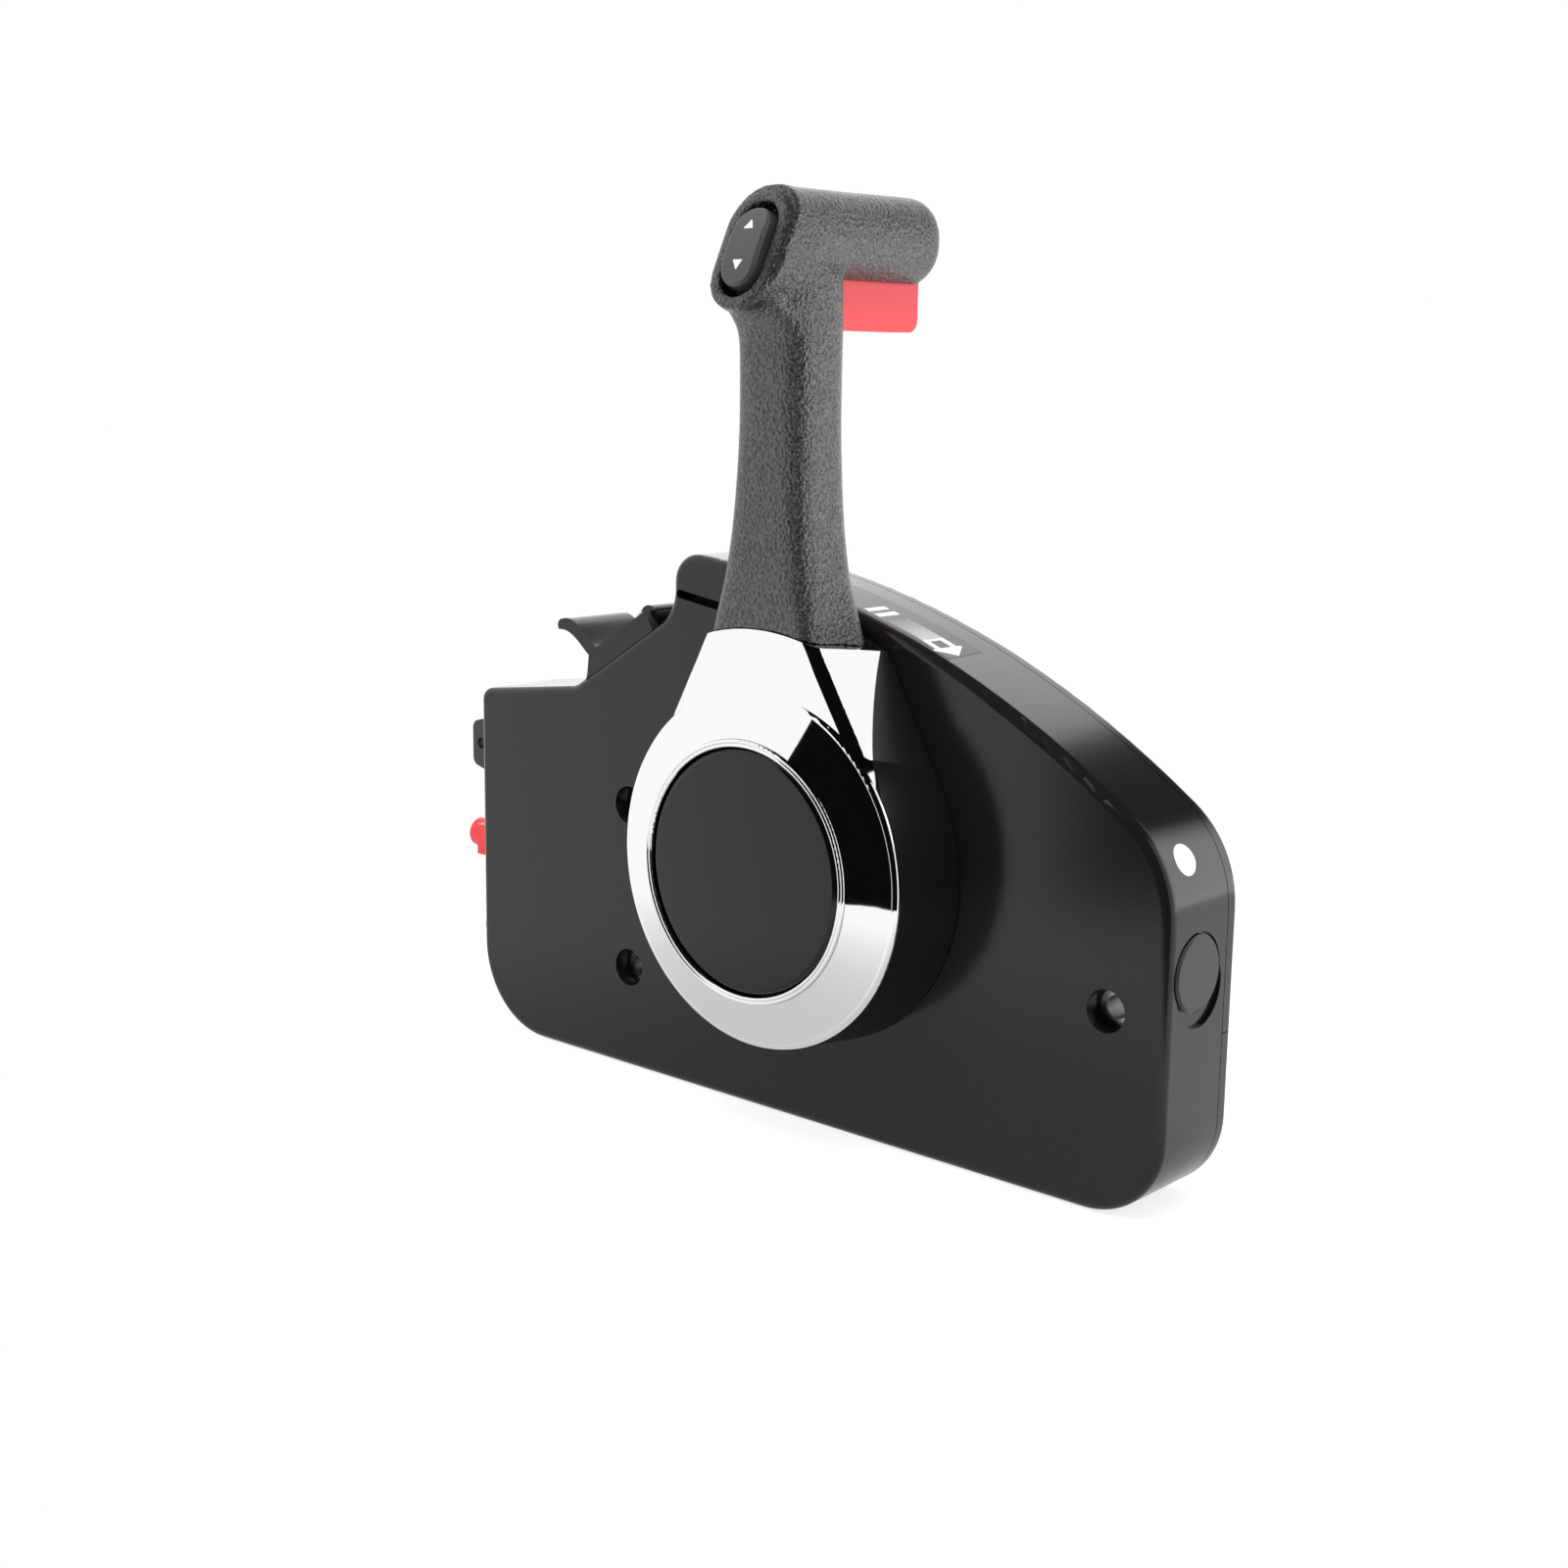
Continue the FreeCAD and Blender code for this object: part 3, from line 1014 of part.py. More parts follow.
def neutral_lock():
    """Trigger, lock rod with its nose and collar, its spring, and the notched stop plate on the case."""
    half, bottom, top = s["trigger_half_width"], s["trigger_bottom"], s["trigger_top"]
    rear, rod_y_place = trigger_rear, lock_rod_y
    blade = rounded(block(-half, half, grip_back - 1.0, rear, bottom, top), s["trigger_corner_radius"],
                    lambda e: e.BoundBox.XLength > 1 and e.BoundBox.YMin > float(rear) - 0.1
                    and e.BoundBox.ZMax < float(bottom) + 0.1)
    tongue = block(-half, half, rod_y_place - 2.0, grip_back - 0.5, top - 9.0, top)
    finish("lock_trigger", cut(joined([blade, tongue]),
                               [rod_z(s["rod_radius"], 0.0, rod_y_place, top - 9.5, top - 0.9)]))
    nose = s["stop_plate_radius"] + 0.5
    collar = rod_z(s["spring_radius"] + s["spring_wire"] - 0.2, 0.0, rod_y_place,
                   s["spring_bottom"] - 1.4, s["spring_bottom"])
    finish("lock_rod", joined([
        rod_z(s["rod_radius"] - 0.02, 0.0, rod_y_place, nose + 2.0, top - 1.0), collar,
        block(-s["lock_half_width"], s["lock_half_width"], rod_y_place - 2.6, case_front - 1.0, nose,
              nose + s["lock_height"])]))
    wire, turns = float(s["spring_wire"]), float(s["spring_turns"])
    low, high = float(s["spring_bottom"]) + wire + 0.05, float(s["spring_top"]) - wire - 0.05
    helix = Part.makeHelix((high - low) / turns, high - low, float(s["spring_radius"]))
    circle = Part.Wire(Part.makeCircle(wire, point(s["spring_radius"], 0, 0), Y))
    coil = Part.Wire(helix).makePipeShell([circle], True, True)
    coil.translate(point(0, rod_y_place, low))
    finish("lock_spring", formed(coil))
    plate_front = case_front - s["stop_plate_thickness"]
    ring = rod_y(s["stop_plate_radius"], 0.0, 0.0, plate_front, case_front)
    finish("neutral_stop_plate", cut(ring, [
        rod_y(s["bush_flange_radius"] + 0.5, 0.0, 0.0, plate_front - 1.0, case_front + 1.0),
        block(-s["lock_half_width"] - 0.7, s["lock_half_width"] + 0.7, plate_front - 1.0, case_front + 1.0,
              s["stop_plate_radius"] - 5.0, s["stop_plate_radius"] + 10.0)]))


def paddle():
    """The fast idle lever: a plate on the slope with an upturned finger lip, and a barrel on its pin."""
    y0, y1 = float(paddle_front), -float(s["paddle_rear"])
    thick, hinge = float(s["paddle_thickness"]), float(s["paddle_hinge_along"])

    def spot(along, up):
        x, z = on_slope(along, up)
        return point(x, y0, z)

    def curve(rows):
        line = Part.BSplineCurve()
        line.interpolate([spot(*row) for row in rows])
        return line.toShape()

    under = [(19.0, 0.6), (11.5, 2.6), (6.6, 13.6), (0.6, 20.6)]
    over = [(3.6, 23.0), (10.6, 15.2), (15.4, 5.6), (20.6, 0.6 + thick)]
    blade = formed(extruded(Part.Wire([
        Part.makeLine(spot(hinge, 0.6), spot(*under[0])), curve(under),
        Part.Arc(spot(*under[-1]), spot(1.2, 22.6), spot(*over[0])).toShape(), curve(over),
        Part.makeLine(spot(*over[-1]), spot(hinge, 0.6 + thick)),
        Part.makeLine(spot(hinge, 0.6 + thick), spot(hinge, 0.6))]), Y * (y1 - y0)))
    front, back = paddle_front, -s["paddle_rear"]
    barrel = rod_y(s["paddle_barrel_radius"], *paddle_hinge, front, back)
    bore = rod_y(s["paddle_pin_radius"] + s["running_clearance"], *paddle_hinge, front - 1.0, back + 1.0)
    finish("fast_idle_paddle", cut(joined([blade, barrel]), [bore]))
    finish("paddle_pin", rod_y(s["paddle_pin_radius"] - 0.01, *paddle_hinge, case_front + 0.6, -1.6))


def key_switch():
    """Key switch: barrel and bezel in the end wall, its nut inside, and the key with its rotor."""
    axis_y, axis_z = -s["end_axis_y"], s["key_z"]
    radius, bore = s["key_barrel_radius"], s["key_barrel_radius"] - 3.4
    inner_end, well = left_end + s["key_barrel_length"], left_end + 12.0
    finish("key_switch_body", turned([
        (0.0, inner_end), (0.0, well), (bore, well), (bore, left_end - 2.6), (radius + 2.4, left_end - 2.6),
        (radius + 2.9, left_end - 2.0), (radius + 2.9, left_end), (radius, left_end), (radius, inner_end)],
        "X", 0.0, axis_y, axis_z))
    nut_start = left_end + s["case_wall"]
    finish("key_switch_nut", turned(tube(radius + 0.02, radius + 3.4, nut_start, nut_start + 4.0),
                                    "X", 0.0, axis_y, axis_z))
    rotor = rod_x(bore - 0.08, axis_y, axis_z, left_end - 1.8, well - 0.3)
    blade = block(left_end - 8.0, left_end - 1.0, axis_y - 1.2, axis_y + 1.2, axis_z - 4.0, axis_z + 4.0)
    tip = left_end - 21.2
    corners = [point(x, axis_y - 2.4, axis_z + z) for x, z in (
        (left_end - 6.4, -7.0), (tip + 9.0, -10.0), (tip, -7.6), (tip, 7.6), (tip + 9.0, 10.0), (left_end - 6.4, 7.0))]
    bow = cut(formed(extruded(rounded_wire(corners, 3.0), Y * 4.8)),
              [rod_y(2.0, tip + 4.4, axis_z, -40.0, 0.0)])
    finish("ignition_key", joined([rotor, blade, bow]))


def stop_switch():
    """Stop switch: barrel with bezel, nut, sprung button, and the lanyard clip under the button's head."""
    axis_y, axis_z = -s["end_axis_y"], -s["stop_z"]
    radius, stem = s["stop_barrel_radius"], s["stop_barrel_radius"] - 3.0
    inner_end, well = left_end + s["stop_barrel_length"], left_end + 9.0
    finish("stop_switch_body", turned([
        (0.0, inner_end), (0.0, well), (stem + 0.08, well), (stem + 0.08, left_end - 7.0), (radius, left_end - 7.0),
        (radius, left_end - 2.4), (radius + 2.5, left_end - 2.4), (radius + 2.5, left_end), (radius, left_end),
        (radius, inner_end)], "X", 0.0, axis_y, axis_z))
    nut_start = left_end + s["case_wall"]
    finish("stop_switch_nut", turned(tube(radius + 0.02, radius + 3.4, nut_start, nut_start + 3.2),
                                     "X", 0.0, axis_y, axis_z))
    clip_in, clip_out = left_end - 7.4, left_end - 11.8
    head_in = clip_out - s["stop_travel"] - 1.1
    head_out = head_in - 6.2
    finish("stop_button", turned([
        (0.0, left_end + 4.0), (stem, left_end + 4.0), (stem, head_in), (stem + 2.1, head_in),
        (stem + 2.1, head_out + 1.0), (stem + 1.1, head_out), (0.0, head_out)], "X", 0.0, axis_y, axis_z))
    clip = block(clip_out, clip_in, axis_y - 9.0, axis_y + 6.0, axis_z - 5.4, axis_z + 5.4)
    room = stem + 0.6
    finish("stop_clip", cut(clip, [block(clip_out - 1.0, clip_in + 1.0, axis_y - room, axis_y + 7.0,
                                         axis_z - room, axis_z + room)]))


def cable_grommet():
    """Rubber grommet in the left end, with a hole each for the harness and the two control cables."""
    wall, reach = s["case_wall"], s["grommet_reach"]
    outside = rounded(end_oblong(0.0, left_end - reach, left_end), 1.2,
                      lambda e: e.BoundBox.XMax < float(left_end - reach) + 1e-4)
    body = joined([outside, end_oblong(-1.5, left_end - 0.1, left_end + wall + 0.3),
                   end_oblong(-0.5, left_end + wall + 0.2, left_end + wall + 2.2)])
    spacing = s["cable_bore_radius"] * 2 + 1.4
    finish("cable_grommet", cut(body, [rod_x(s["cable_bore_radius"], -s["grommet_y"] + spacing * k, -s["grommet_z"],
                                             left_end - 9.0, left_end + 9.0) for k in (-1.0, 0.0, 1.0)]))


def friction_adjuster():
    """The throttle friction screw, the shoe that it drives at the cam's rim, and the plug over its hole."""
    axis_y, axis_z, radius = -s["adjuster_y"], -s["adjuster_z"], s["adjuster_radius"]
    rim = square_root(s["cam_radius"] * s["cam_radius"] - axis_z * axis_z)
    start = rim + s["shoe_gap"] + 1.3
    end = start + s["shoe_length"]
    shoe = block(start - 4.0, end, cam_front - 1.0, cam_back + 1.0, axis_z - 6.0, axis_z + 6.0)
    finish("friction_shoe", cut(shoe, [rod_y(s["cam_radius"] + s["shoe_gap"], 0.0, 0.0, -40.0, 0.0),
                                       rod_x(radius + 0.06, axis_y, axis_z, start + 1.0, end + 1.0)]))
    near, far = bracket_start - 0.3, bracket_start + s["bracket_length"] + 0.3
    head_at = s["case_right"] - 9.0
    collar, head = radius + 1.8, radius + 2.6
    finish("friction_screw", turned([
        (0.0, start + 3.0), (radius, start + 3.0), (radius, near - 1.7), (collar, near - 1.7), (collar, near),
        (radius, near), (radius, far), (collar, far), (collar, far + 1.7), (radius, far + 1.7), (radius, head_at),
        (head, head_at), (head, head_at + 3.2), (head - 0.6, head_at + 3.8), (2.0, head_at + 3.8),
        (2.0, head_at + 2.0), (0.0, head_at + 2.0)], "X", 0.0, axis_y, axis_z))
    right, plug = s["case_right"], s["plug_radius"]
    skirt = plug - 1.58
    finish("friction_plug", turned([
        (0.0, right - 1.1), (skirt - 1.6, right - 1.1), (skirt - 1.6, right - 4.4), (skirt, right - 4.4),
        (skirt, right - 1.1), (plug, right - 1.1), (plug, right + 0.1), (plug - 0.7, right + 0.7),
        (0.0, right + 0.7)], "X", 0.0, axis_y, axis_z))


def electrics():
    """Warning buzzer behind the slot and the neutral safety switch above the cam."""
    radius, top = s["buzzer_radius"], inner_front + s["buzzer_height"]
    finish("warning_buzzer", turned([
        (0.0, inner_front), (radius, inner_front), (radius, top - 1.0), (radius - 1.0, top), (0.0, top)],
        "Y", -s["peak_left"] + 14.6, 0.0, roof_top - 20.0))
    low = s["cam_radius"] + 6.0
    body = block(12.0, 32.0, inner_front, inner_front + 6.4, low, low + 10.0)
    finish("neutral_switch", joined([body, rod_z(1.4, 17.0, inner_front + 3.2, low - 2.4, low + 1.0)]))


def build_all():
    front_housing()
    rear_covers()
    finish("cover_screws", grouped([cover_screw(x, z) for x, z in upper_screws + lower_screws]))
    mount_sleeves()
    shaft_line()
    shift_gears()
    throttle_train()
    detent()
    hub_and_chrome()
    lever_core()
    handle_grip()
    trim_switch()
    hub_trim()
    neutral_lock()
    paddle()
    key_switch()
    stop_switch()
    cable_grommet()
    friction_adjuster()
    electrics()
    doc.recompute()


def check_and_write():
    """Refuses any object that failed, then writes one file per sub-part."""
    for item in doc.Objects:
        if "Invalid" in item.State or "Error" in item.State:
            raise RuntimeError(f"{item.Name} did not recompute: {item.State}")
    for item in sub_parts:
        if item.Shape.isNull() or not item.Shape.isValid():
            raise RuntimeError(f"{item.Label} has no valid shape")
    os.makedirs("parts", exist_ok=True)
    for item in sub_parts:
        item.Shape.exportStep(f"parts/{item.Label}.step")
        print(f"{item.Label}: {len(item.Shape.Solids)} solid, {item.Shape.Volume:.1f} mm3")
    print(len(sub_parts), "parts")


build_all()
check_and_write()
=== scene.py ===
import math

import bmesh
import bpy
import numpy as np
from mathutils import Matrix, Vector


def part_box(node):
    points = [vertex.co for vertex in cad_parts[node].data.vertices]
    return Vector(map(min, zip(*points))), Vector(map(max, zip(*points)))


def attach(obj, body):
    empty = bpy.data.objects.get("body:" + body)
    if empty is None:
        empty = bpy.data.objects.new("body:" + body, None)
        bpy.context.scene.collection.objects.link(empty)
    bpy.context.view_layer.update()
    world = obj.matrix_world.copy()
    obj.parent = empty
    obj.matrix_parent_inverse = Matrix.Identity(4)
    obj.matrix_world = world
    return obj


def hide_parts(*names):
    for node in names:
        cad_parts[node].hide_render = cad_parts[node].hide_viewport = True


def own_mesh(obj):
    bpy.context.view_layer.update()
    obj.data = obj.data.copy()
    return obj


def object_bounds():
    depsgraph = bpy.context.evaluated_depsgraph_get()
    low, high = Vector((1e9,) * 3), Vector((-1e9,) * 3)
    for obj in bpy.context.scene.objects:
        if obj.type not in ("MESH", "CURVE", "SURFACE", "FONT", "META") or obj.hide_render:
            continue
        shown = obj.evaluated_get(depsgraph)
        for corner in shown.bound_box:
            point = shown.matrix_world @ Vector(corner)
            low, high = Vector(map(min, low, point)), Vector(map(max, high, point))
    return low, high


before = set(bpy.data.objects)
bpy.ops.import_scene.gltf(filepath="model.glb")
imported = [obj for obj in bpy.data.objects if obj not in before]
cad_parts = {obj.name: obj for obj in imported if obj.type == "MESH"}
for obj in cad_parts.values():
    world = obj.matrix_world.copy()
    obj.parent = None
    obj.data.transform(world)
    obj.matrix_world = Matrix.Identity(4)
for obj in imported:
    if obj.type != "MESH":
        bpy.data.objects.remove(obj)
cadLow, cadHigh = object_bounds()
print("frame loaded with", len(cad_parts), "nodes")

mm = 0.001

# one entry for each finish, used by the nodes named below it
finishes = {
    "satinBlackCase": {"colour": (0.008, 0.008, 0.0083), "roughness": 0.17, "specular": 0.44,
                       "grain": 2600.0, "depth": 0.02},
    "plugBlack": {"colour": (0.022, 0.022, 0.0226), "roughness": 0.3, "specular": 0.44,
                  "grain": 2600.0, "depth": 0.02},
    "slotBlack": {"colour": (0.002, 0.002, 0.002), "roughness": 0.7, "specular": 0.1,
                  "grain": 1500.0, "depth": 0.03},
    "hubBlack": {"colour": (0.007, 0.007, 0.0073), "roughness": 0.3, "specular": 0.45,
                 "grain": 2400.0, "depth": 0.02},
    # the grip's last pair is painted shade: the specular level in the grain's pits and on its tops
    "grainedGrip": {"colour": (0.008, 0.008, 0.0083), "roughness": 0.28, "ior": 1.85,
                    "grain": 1000.0, "depth": 1.0, "relief": 0.001, "detail": 3.0, "pitShadeSpecular": (0.5, 0.95)},
    "brightChrome": {"colour": (0.95, 0.95, 0.96), "roughness": 0.03, "metallic": 1.0,
                     "grain": 300.0, "depth": 0.004},
    "glossCap": {"colour": (0.003, 0.003, 0.0032), "roughness": 0.12, "specular": 0.43,
                 "grain": 900.0, "depth": 0.004},
    "rockerBlack": {"colour": (0.045, 0.045, 0.046), "roughness": 0.3, "specular": 0.5,
                    "grain": 1800.0, "depth": 0.02},
    "triggerRed": {"colour": (0.92, 0.062, 0.075), "roughness": 0.4, "specular": 0.45,
                   "grain": 1500.0, "depth": 0.02},
    "stopRed": {"colour": (0.72, 0.03, 0.035), "roughness": 0.35, "specular": 0.5,
                "grain": 1500.0, "depth": 0.02},
    "steel": {"colour": (0.58, 0.58, 0.59), "roughness": 0.3, "metallic": 1.0,
              "grain": 900.0, "depth": 0.02},
    "castAlloy": {"colour": (0.42, 0.42, 0.43), "roughness": 0.5, "metallic": 1.0,
                  "grain": 700.0, "depth": 0.08},
    "bronze": {"colour": (0.62, 0.42, 0.2), "roughness": 0.38, "metallic": 1.0,
               "grain": 900.0, "depth": 0.03},
    "nylon": {"colour": (0.62, 0.6, 0.55), "roughness": 0.45, "specular": 0.4,
              "grain": 900.0, "depth": 0.02},
    "rubber": {"colour": (0.012, 0.012, 0.012), "roughness": 0.62, "specular": 0.35,
               "grain": 1300.0, "depth": 0.05},
    "printWhite": {"colour": (0.82, 0.82, 0.82), "roughness": 0.45, "specular": 0.4,
                   "grain": 1200.0, "depth": 0.01},
    "printGrey": {"colour": (0.5, 0.5, 0.5), "roughness": 0.45, "specular": 0.4,
                  "grain": 1200.0, "depth": 0.01},
    "labelWhite": {"colour": (0.88, 0.88, 0.88), "roughness": 0.5, "specular": 0.4,
                   "grain": 1200.0, "depth": 0.01},
    "labelBlack": {"colour": (0.02, 0.02, 0.0205), "roughness": 0.3, "specular": 0.42,
                   "grain": 1200.0, "depth": 0.01},
}

nodeFinish = {
    "satinBlackCase": ["front_housing", "rear_cover_upper", "rear_cover_lower", "fast_idle_paddle"],
    "slotBlack": ["warning_buzzer", "neutral_switch"],
    "plugBlack": ["friction_plug", "ignition_key"],
    "hubBlack": ["lever_hub"],
    "grainedGrip": ["handle_grip"],
    "brightChrome": ["chrome_cover", "cap_bead"],
    "glossCap": ["hub_cap"],
    "rockerBlack": ["trim_rocker", "trim_switch_body", "key_switch_body", "stop_switch_body",
                    "key_switch_nut", "stop_switch_nut"],
    "triggerRed": ["lock_trigger"],
    "stopRed": ["stop_clip", "stop_button"],
    "steel": ["cover_screws", "left_mount_sleeves", "right_mount_sleeve", "main_shaft", "hub_washer",
              "hub_bolt", "shift_cable_pin", "throttle_cable_pin", "shift_stud", "throttle_stud",
              "detent_spring", "detent_roller", "lock_rod", "lock_spring", "paddle_pin", "friction_screw",
              "throttle_arm"],
    "castAlloy": ["lever_core", "drive_gear", "shift_sector", "throttle_cam", "detent_disc"],
    "bronze": ["front_bush", "rear_bush"],
    "nylon": ["throttle_roller", "friction_shoe", "neutral_stop_plate"],
    "rubber": ["cable_grommet"],
}

materials = {}

# the noise levels at the bottom of a moulding's pits and at the tops between them, over which the painted pit
# shade fades out
grainLevels = (0.36, 0.62)


def linkNodes(tree, *pairs):
    for source, target in pairs:
        tree.links.new(source, target)


# a principled surface whose fine grain is a noise on Object coordinates, put into the bump; on a grained
# moulding the same noise lowers the specular level in the pits, a painted shade for the shadow that the bump
# does not cast there
def makeFinish(name, look):
    material = bpy.data.materials.new(name)
    material.use_nodes = True
    tree = material.node_tree
    shader = tree.nodes["Principled BSDF"]
    shader.inputs["Base Color"].default_value = (*look["colour"], 1.0)
    shader.inputs["Roughness"].default_value = look["roughness"]
    shader.inputs["Metallic"].default_value = look.get("metallic", 0.0)
    shader.inputs["Specular IOR Level"].default_value = look.get("specular", 0.5)
    shader.inputs["IOR"].default_value = look.get("ior", 1.5)
    place = tree.nodes.new("ShaderNodeTexCoord")
    grain = tree.nodes.new("ShaderNodeTexNoise")
    grain.inputs["Scale"].default_value = look["grain"]
    grain.inputs["Detail"].default_value = look.get("detail", 2.0)
    relief = tree.nodes.new("ShaderNodeBump")
    relief.inputs["Strength"].default_value = look["depth"]
    relief.inputs["Distance"].default_value = look.get("relief", 0.0002)
    linkNodes(tree, (place.outputs["Object"], grain.inputs["Vector"]),
              (grain.outputs["Fac"], relief.inputs["Height"]),
              (relief.outputs["Normal"], shader.inputs["Normal"]))
    # painted shade: the specular level drops in the grain's pits and rises on the tops between them
    if "pitShadeSpecular" in look:
        pits = tree.nodes.new("ShaderNodeMapRange")
        pits.inputs["From Min"].default_value, pits.inputs["From Max"].default_value = grainLevels
        pits.inputs["To Min"].default_value, pits.inputs["To Max"].default_value = look["pitShadeSpecular"]
        linkNodes(tree, (grain.outputs["Fac"], pits.inputs["Value"]),
                  (pits.outputs["Result"], shader.inputs["Specular IOR Level"]))
    materials[name] = material


for finishName, look in finishes.items():
    makeFinish(finishName, look)


def dress(obj, finishName):
    obj.data.materials.clear()
    obj.data.materials.append(materials[finishName])
    return obj


for finishName, nodeNames in nodeFinish.items():
    for nodeName in nodeNames:
        dress(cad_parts[nodeName], finishName)
print("finishes given")

# the face of the switch on the grip's head: a point of it in mm and its lean in degrees
switchFace = {"y": -66.0, "z": 178.0, "lean": 25.7}

# the grip is the CAD moulding with its edges and joins softened; each pair is where a smooth step starts and
# ends, in metres: up the foot and the head, along y at the bar's end and the head's back, down from the
# switch's face, and out of the trigger's box
gripSizes = {"voxel": 0.6 * mm, "firstRounds": 4, "armRounds": 66, "headRounds": 60,
             "foot": (0.0745, 0.088), "bar": (-0.014, -0.004), "barKept": 0.7, "head": (0.11, 0.135),
             "headBack": (-0.026, -0.014), "collar": (0.0025, 0.008), "slotGap": (0.0012, 0.003),
             "triggerTravel": 0.006}

# points nearer than this are one point
mergeReach = 0.004 * mm


# a copy of a CAD node's mesh with its loose triangles joined
def mergedCopy(nodeName):
    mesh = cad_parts[nodeName].data.copy()
    merged = bmesh.new()
    merged.from_mesh(mesh)
    bmesh.ops.remove_doubles(merged, verts=merged.verts, dist=mergeReach)
    merged.to_mesh(mesh)
    merged.free()
    return mesh


def addObject(name, mesh):
    obj = bpy.data.objects.new(name, mesh)
    bpy.context.scene.collection.objects.link(obj)
    return obj


# the mesh that the object's modifiers give, without them
def finishedMesh(obj, name):
    evaluated = obj.evaluated_get(bpy.context.evaluated_depsgraph_get())
    mesh = bpy.data.meshes.new_from_object(evaluated)
    mesh.name = name
    return mesh


def readPoints(mesh):
    flat = np.empty(len(mesh.vertices) * 3)
    mesh.vertices.foreach_get("co", flat)
    return flat.reshape(-1, 3)


# each round moves every point halfway towards the mean of its neighbours, as far as its weight allows
def softened(mesh, weight, rounds):
    points = readPoints(mesh)
    ends = np.empty(len(mesh.edges) * 2, int)
    mesh.edges.foreach_get("vertices", ends)
    ends = ends.reshape(-1, 2)
    count = np.bincount(ends.ravel(), minlength=len(points))[:, None]
    share = 0.5 * weight(points)[:, None]
    for _ in range(rounds):
        total = np.stack([np.bincount(ends[:, 0], points[ends[:, 1], k], len(points))
                          + np.bincount(ends[:, 1], points[ends[:, 0], k], len(points)) for k in range(3)], 1)
        points = points + share * (total / count - points)
    mesh.vertices.foreach_set("co", points.ravel())
    mesh.update()


def smoothStep(value, low, high):
    share = np.clip((value - low) / (high - low), 0, 1)
    return share * share * (3 - 2 * share)


# the foot keeps its edge, the bar's end keeps most of its corners, and the slot keeps its clearance round
# the trigger over its travel: the gap is the largest of the distances out of the trigger's box
def gripShare(points):
    low, high = (np.array(corner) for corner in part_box("lock_trigger"))
    high[2] += gripSizes["triggerTravel"]
    gap = np.maximum(low - points, points - high).max(1)
    barEnd = smoothStep(points[:, 1], *gripSizes["bar"])
    return (smoothStep(points[:, 2], *gripSizes["foot"]) * (1 - gripSizes["barKept"] * barEnd)
            * smoothStep(gap, *gripSizes["slotGap"]))


# nought at the switch's collar, one well below its face: the depth is measured along the face's normal
def belowFace(points):
    lean = math.radians(switchFace["lean"])
    depth = ((points[:, 1] - switchFace["y"] * mm) * math.cos(lean)
             - (points[:, 2] - switchFace["z"] * mm) * math.sin(lean))
    return smoothStep(depth, *gripSizes["collar"])


# the joins round the head are softened more
def headShare(points):
    high = smoothStep(points[:, 2], *gripSizes["head"])
    back = smoothStep(points[:, 1], *gripSizes["headBack"])
    return high * belowFace(points) * gripShare(points) * (1 - back)


def makeGrip():
    rough = addObject("roughGrip", mergedCopy("handle_grip"))
    remesh = rough.modifiers.new("remesh", "REMESH")
    remesh.mode = "VOXEL"
    remesh.voxel_size = gripSizes["voxel"]
    mesh = finishedMesh(rough, "gripShell")
    bpy.data.objects.remove(rough)
    softened(mesh, gripShare, gripSizes["firstRounds"])
    softened(mesh, lambda points: gripShare(points) * belowFace(points), gripSizes["armRounds"])
    softened(mesh, headShare, gripSizes["headRounds"])
    mesh.shade_smooth()
    grip = dress(addObject("gripShell", mesh), "grainedGrip")
    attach(grip, "lever")
    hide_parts("handle_grip")
    print("grip made, faces:", len(mesh.polygons))


makeGrip()


def makeLockSpring():
    spring = dress(addObject("lockCoil", mergedCopy("lock_spring")), "steel")
    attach(spring, "lever")
    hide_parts("lock_spring")
    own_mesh(spring)


makeLockSpring()


# the marks are thin closed slabs laid on the roof, the shoulder and the rocker: a slab lies between two grids
# of one shape, with a sheet of quads above and below and one row of them round the edge
def closedSlab(name, top, bottom):
    rows, columns = top.shape[:2]
    points = np.concatenate([top.reshape(-1, 3), bottom.reshape(-1, 3)])
    index = np.arange(rows * columns).reshape(rows, columns)
    sheet = np.stack([index[:-1, :-1], index[1:, :-1], index[1:, 1:], index[:-1, 1:]], -1).reshape(-1, 4)
    rim = np.concatenate([index[:-1, 0], index[-1, :-1], index[:0:-1, -1], index[0, :0:-1]])
    following = np.roll(rim, -1)
    under = rows * columns
    wall = np.stack([rim, rim + under, following + under, following], -1)
    faces = np.concatenate([sheet, sheet[:, ::-1] + under, wall[:, ::-1]])
    mesh = bpy.data.meshes.new(name)
    mesh.from_pydata(points.tolist(), [], faces.tolist())
    turned = bmesh.new()
    turned.from_mesh(mesh)
    bmesh.ops.recalc_face_normals(turned, faces=turned.faces)
    turned.to_mesh(mesh)
    turned.free()
    return mesh


def unitGrid(rows, columns):
    return np.meshgrid(np.linspace(-1, 1, rows), np.linspace(-1, 1, columns), indexing="ij")


# the roof's arc in mm, how far a mark stands out of it and reaches into it, and a mark's grid
roof = {"centre": (-75.0, -230.0), "radius": 319.0, "proud": 0.07, "sunk": 0.05, "grid": (16, 4)}


# the point over x and y that stands at a height above the roof's arc: z is the arc's centre plus the
# square root of the radius squared less the distance along x squared
def onRoof(x, y, height):
    radius = roof["radius"] + height
    lean = (x - roof["centre"][0]) / radius
    return np.stack([x, y, roof["centre"][1] + radius * np.sqrt(1 - lean * lean)], -1) * mm


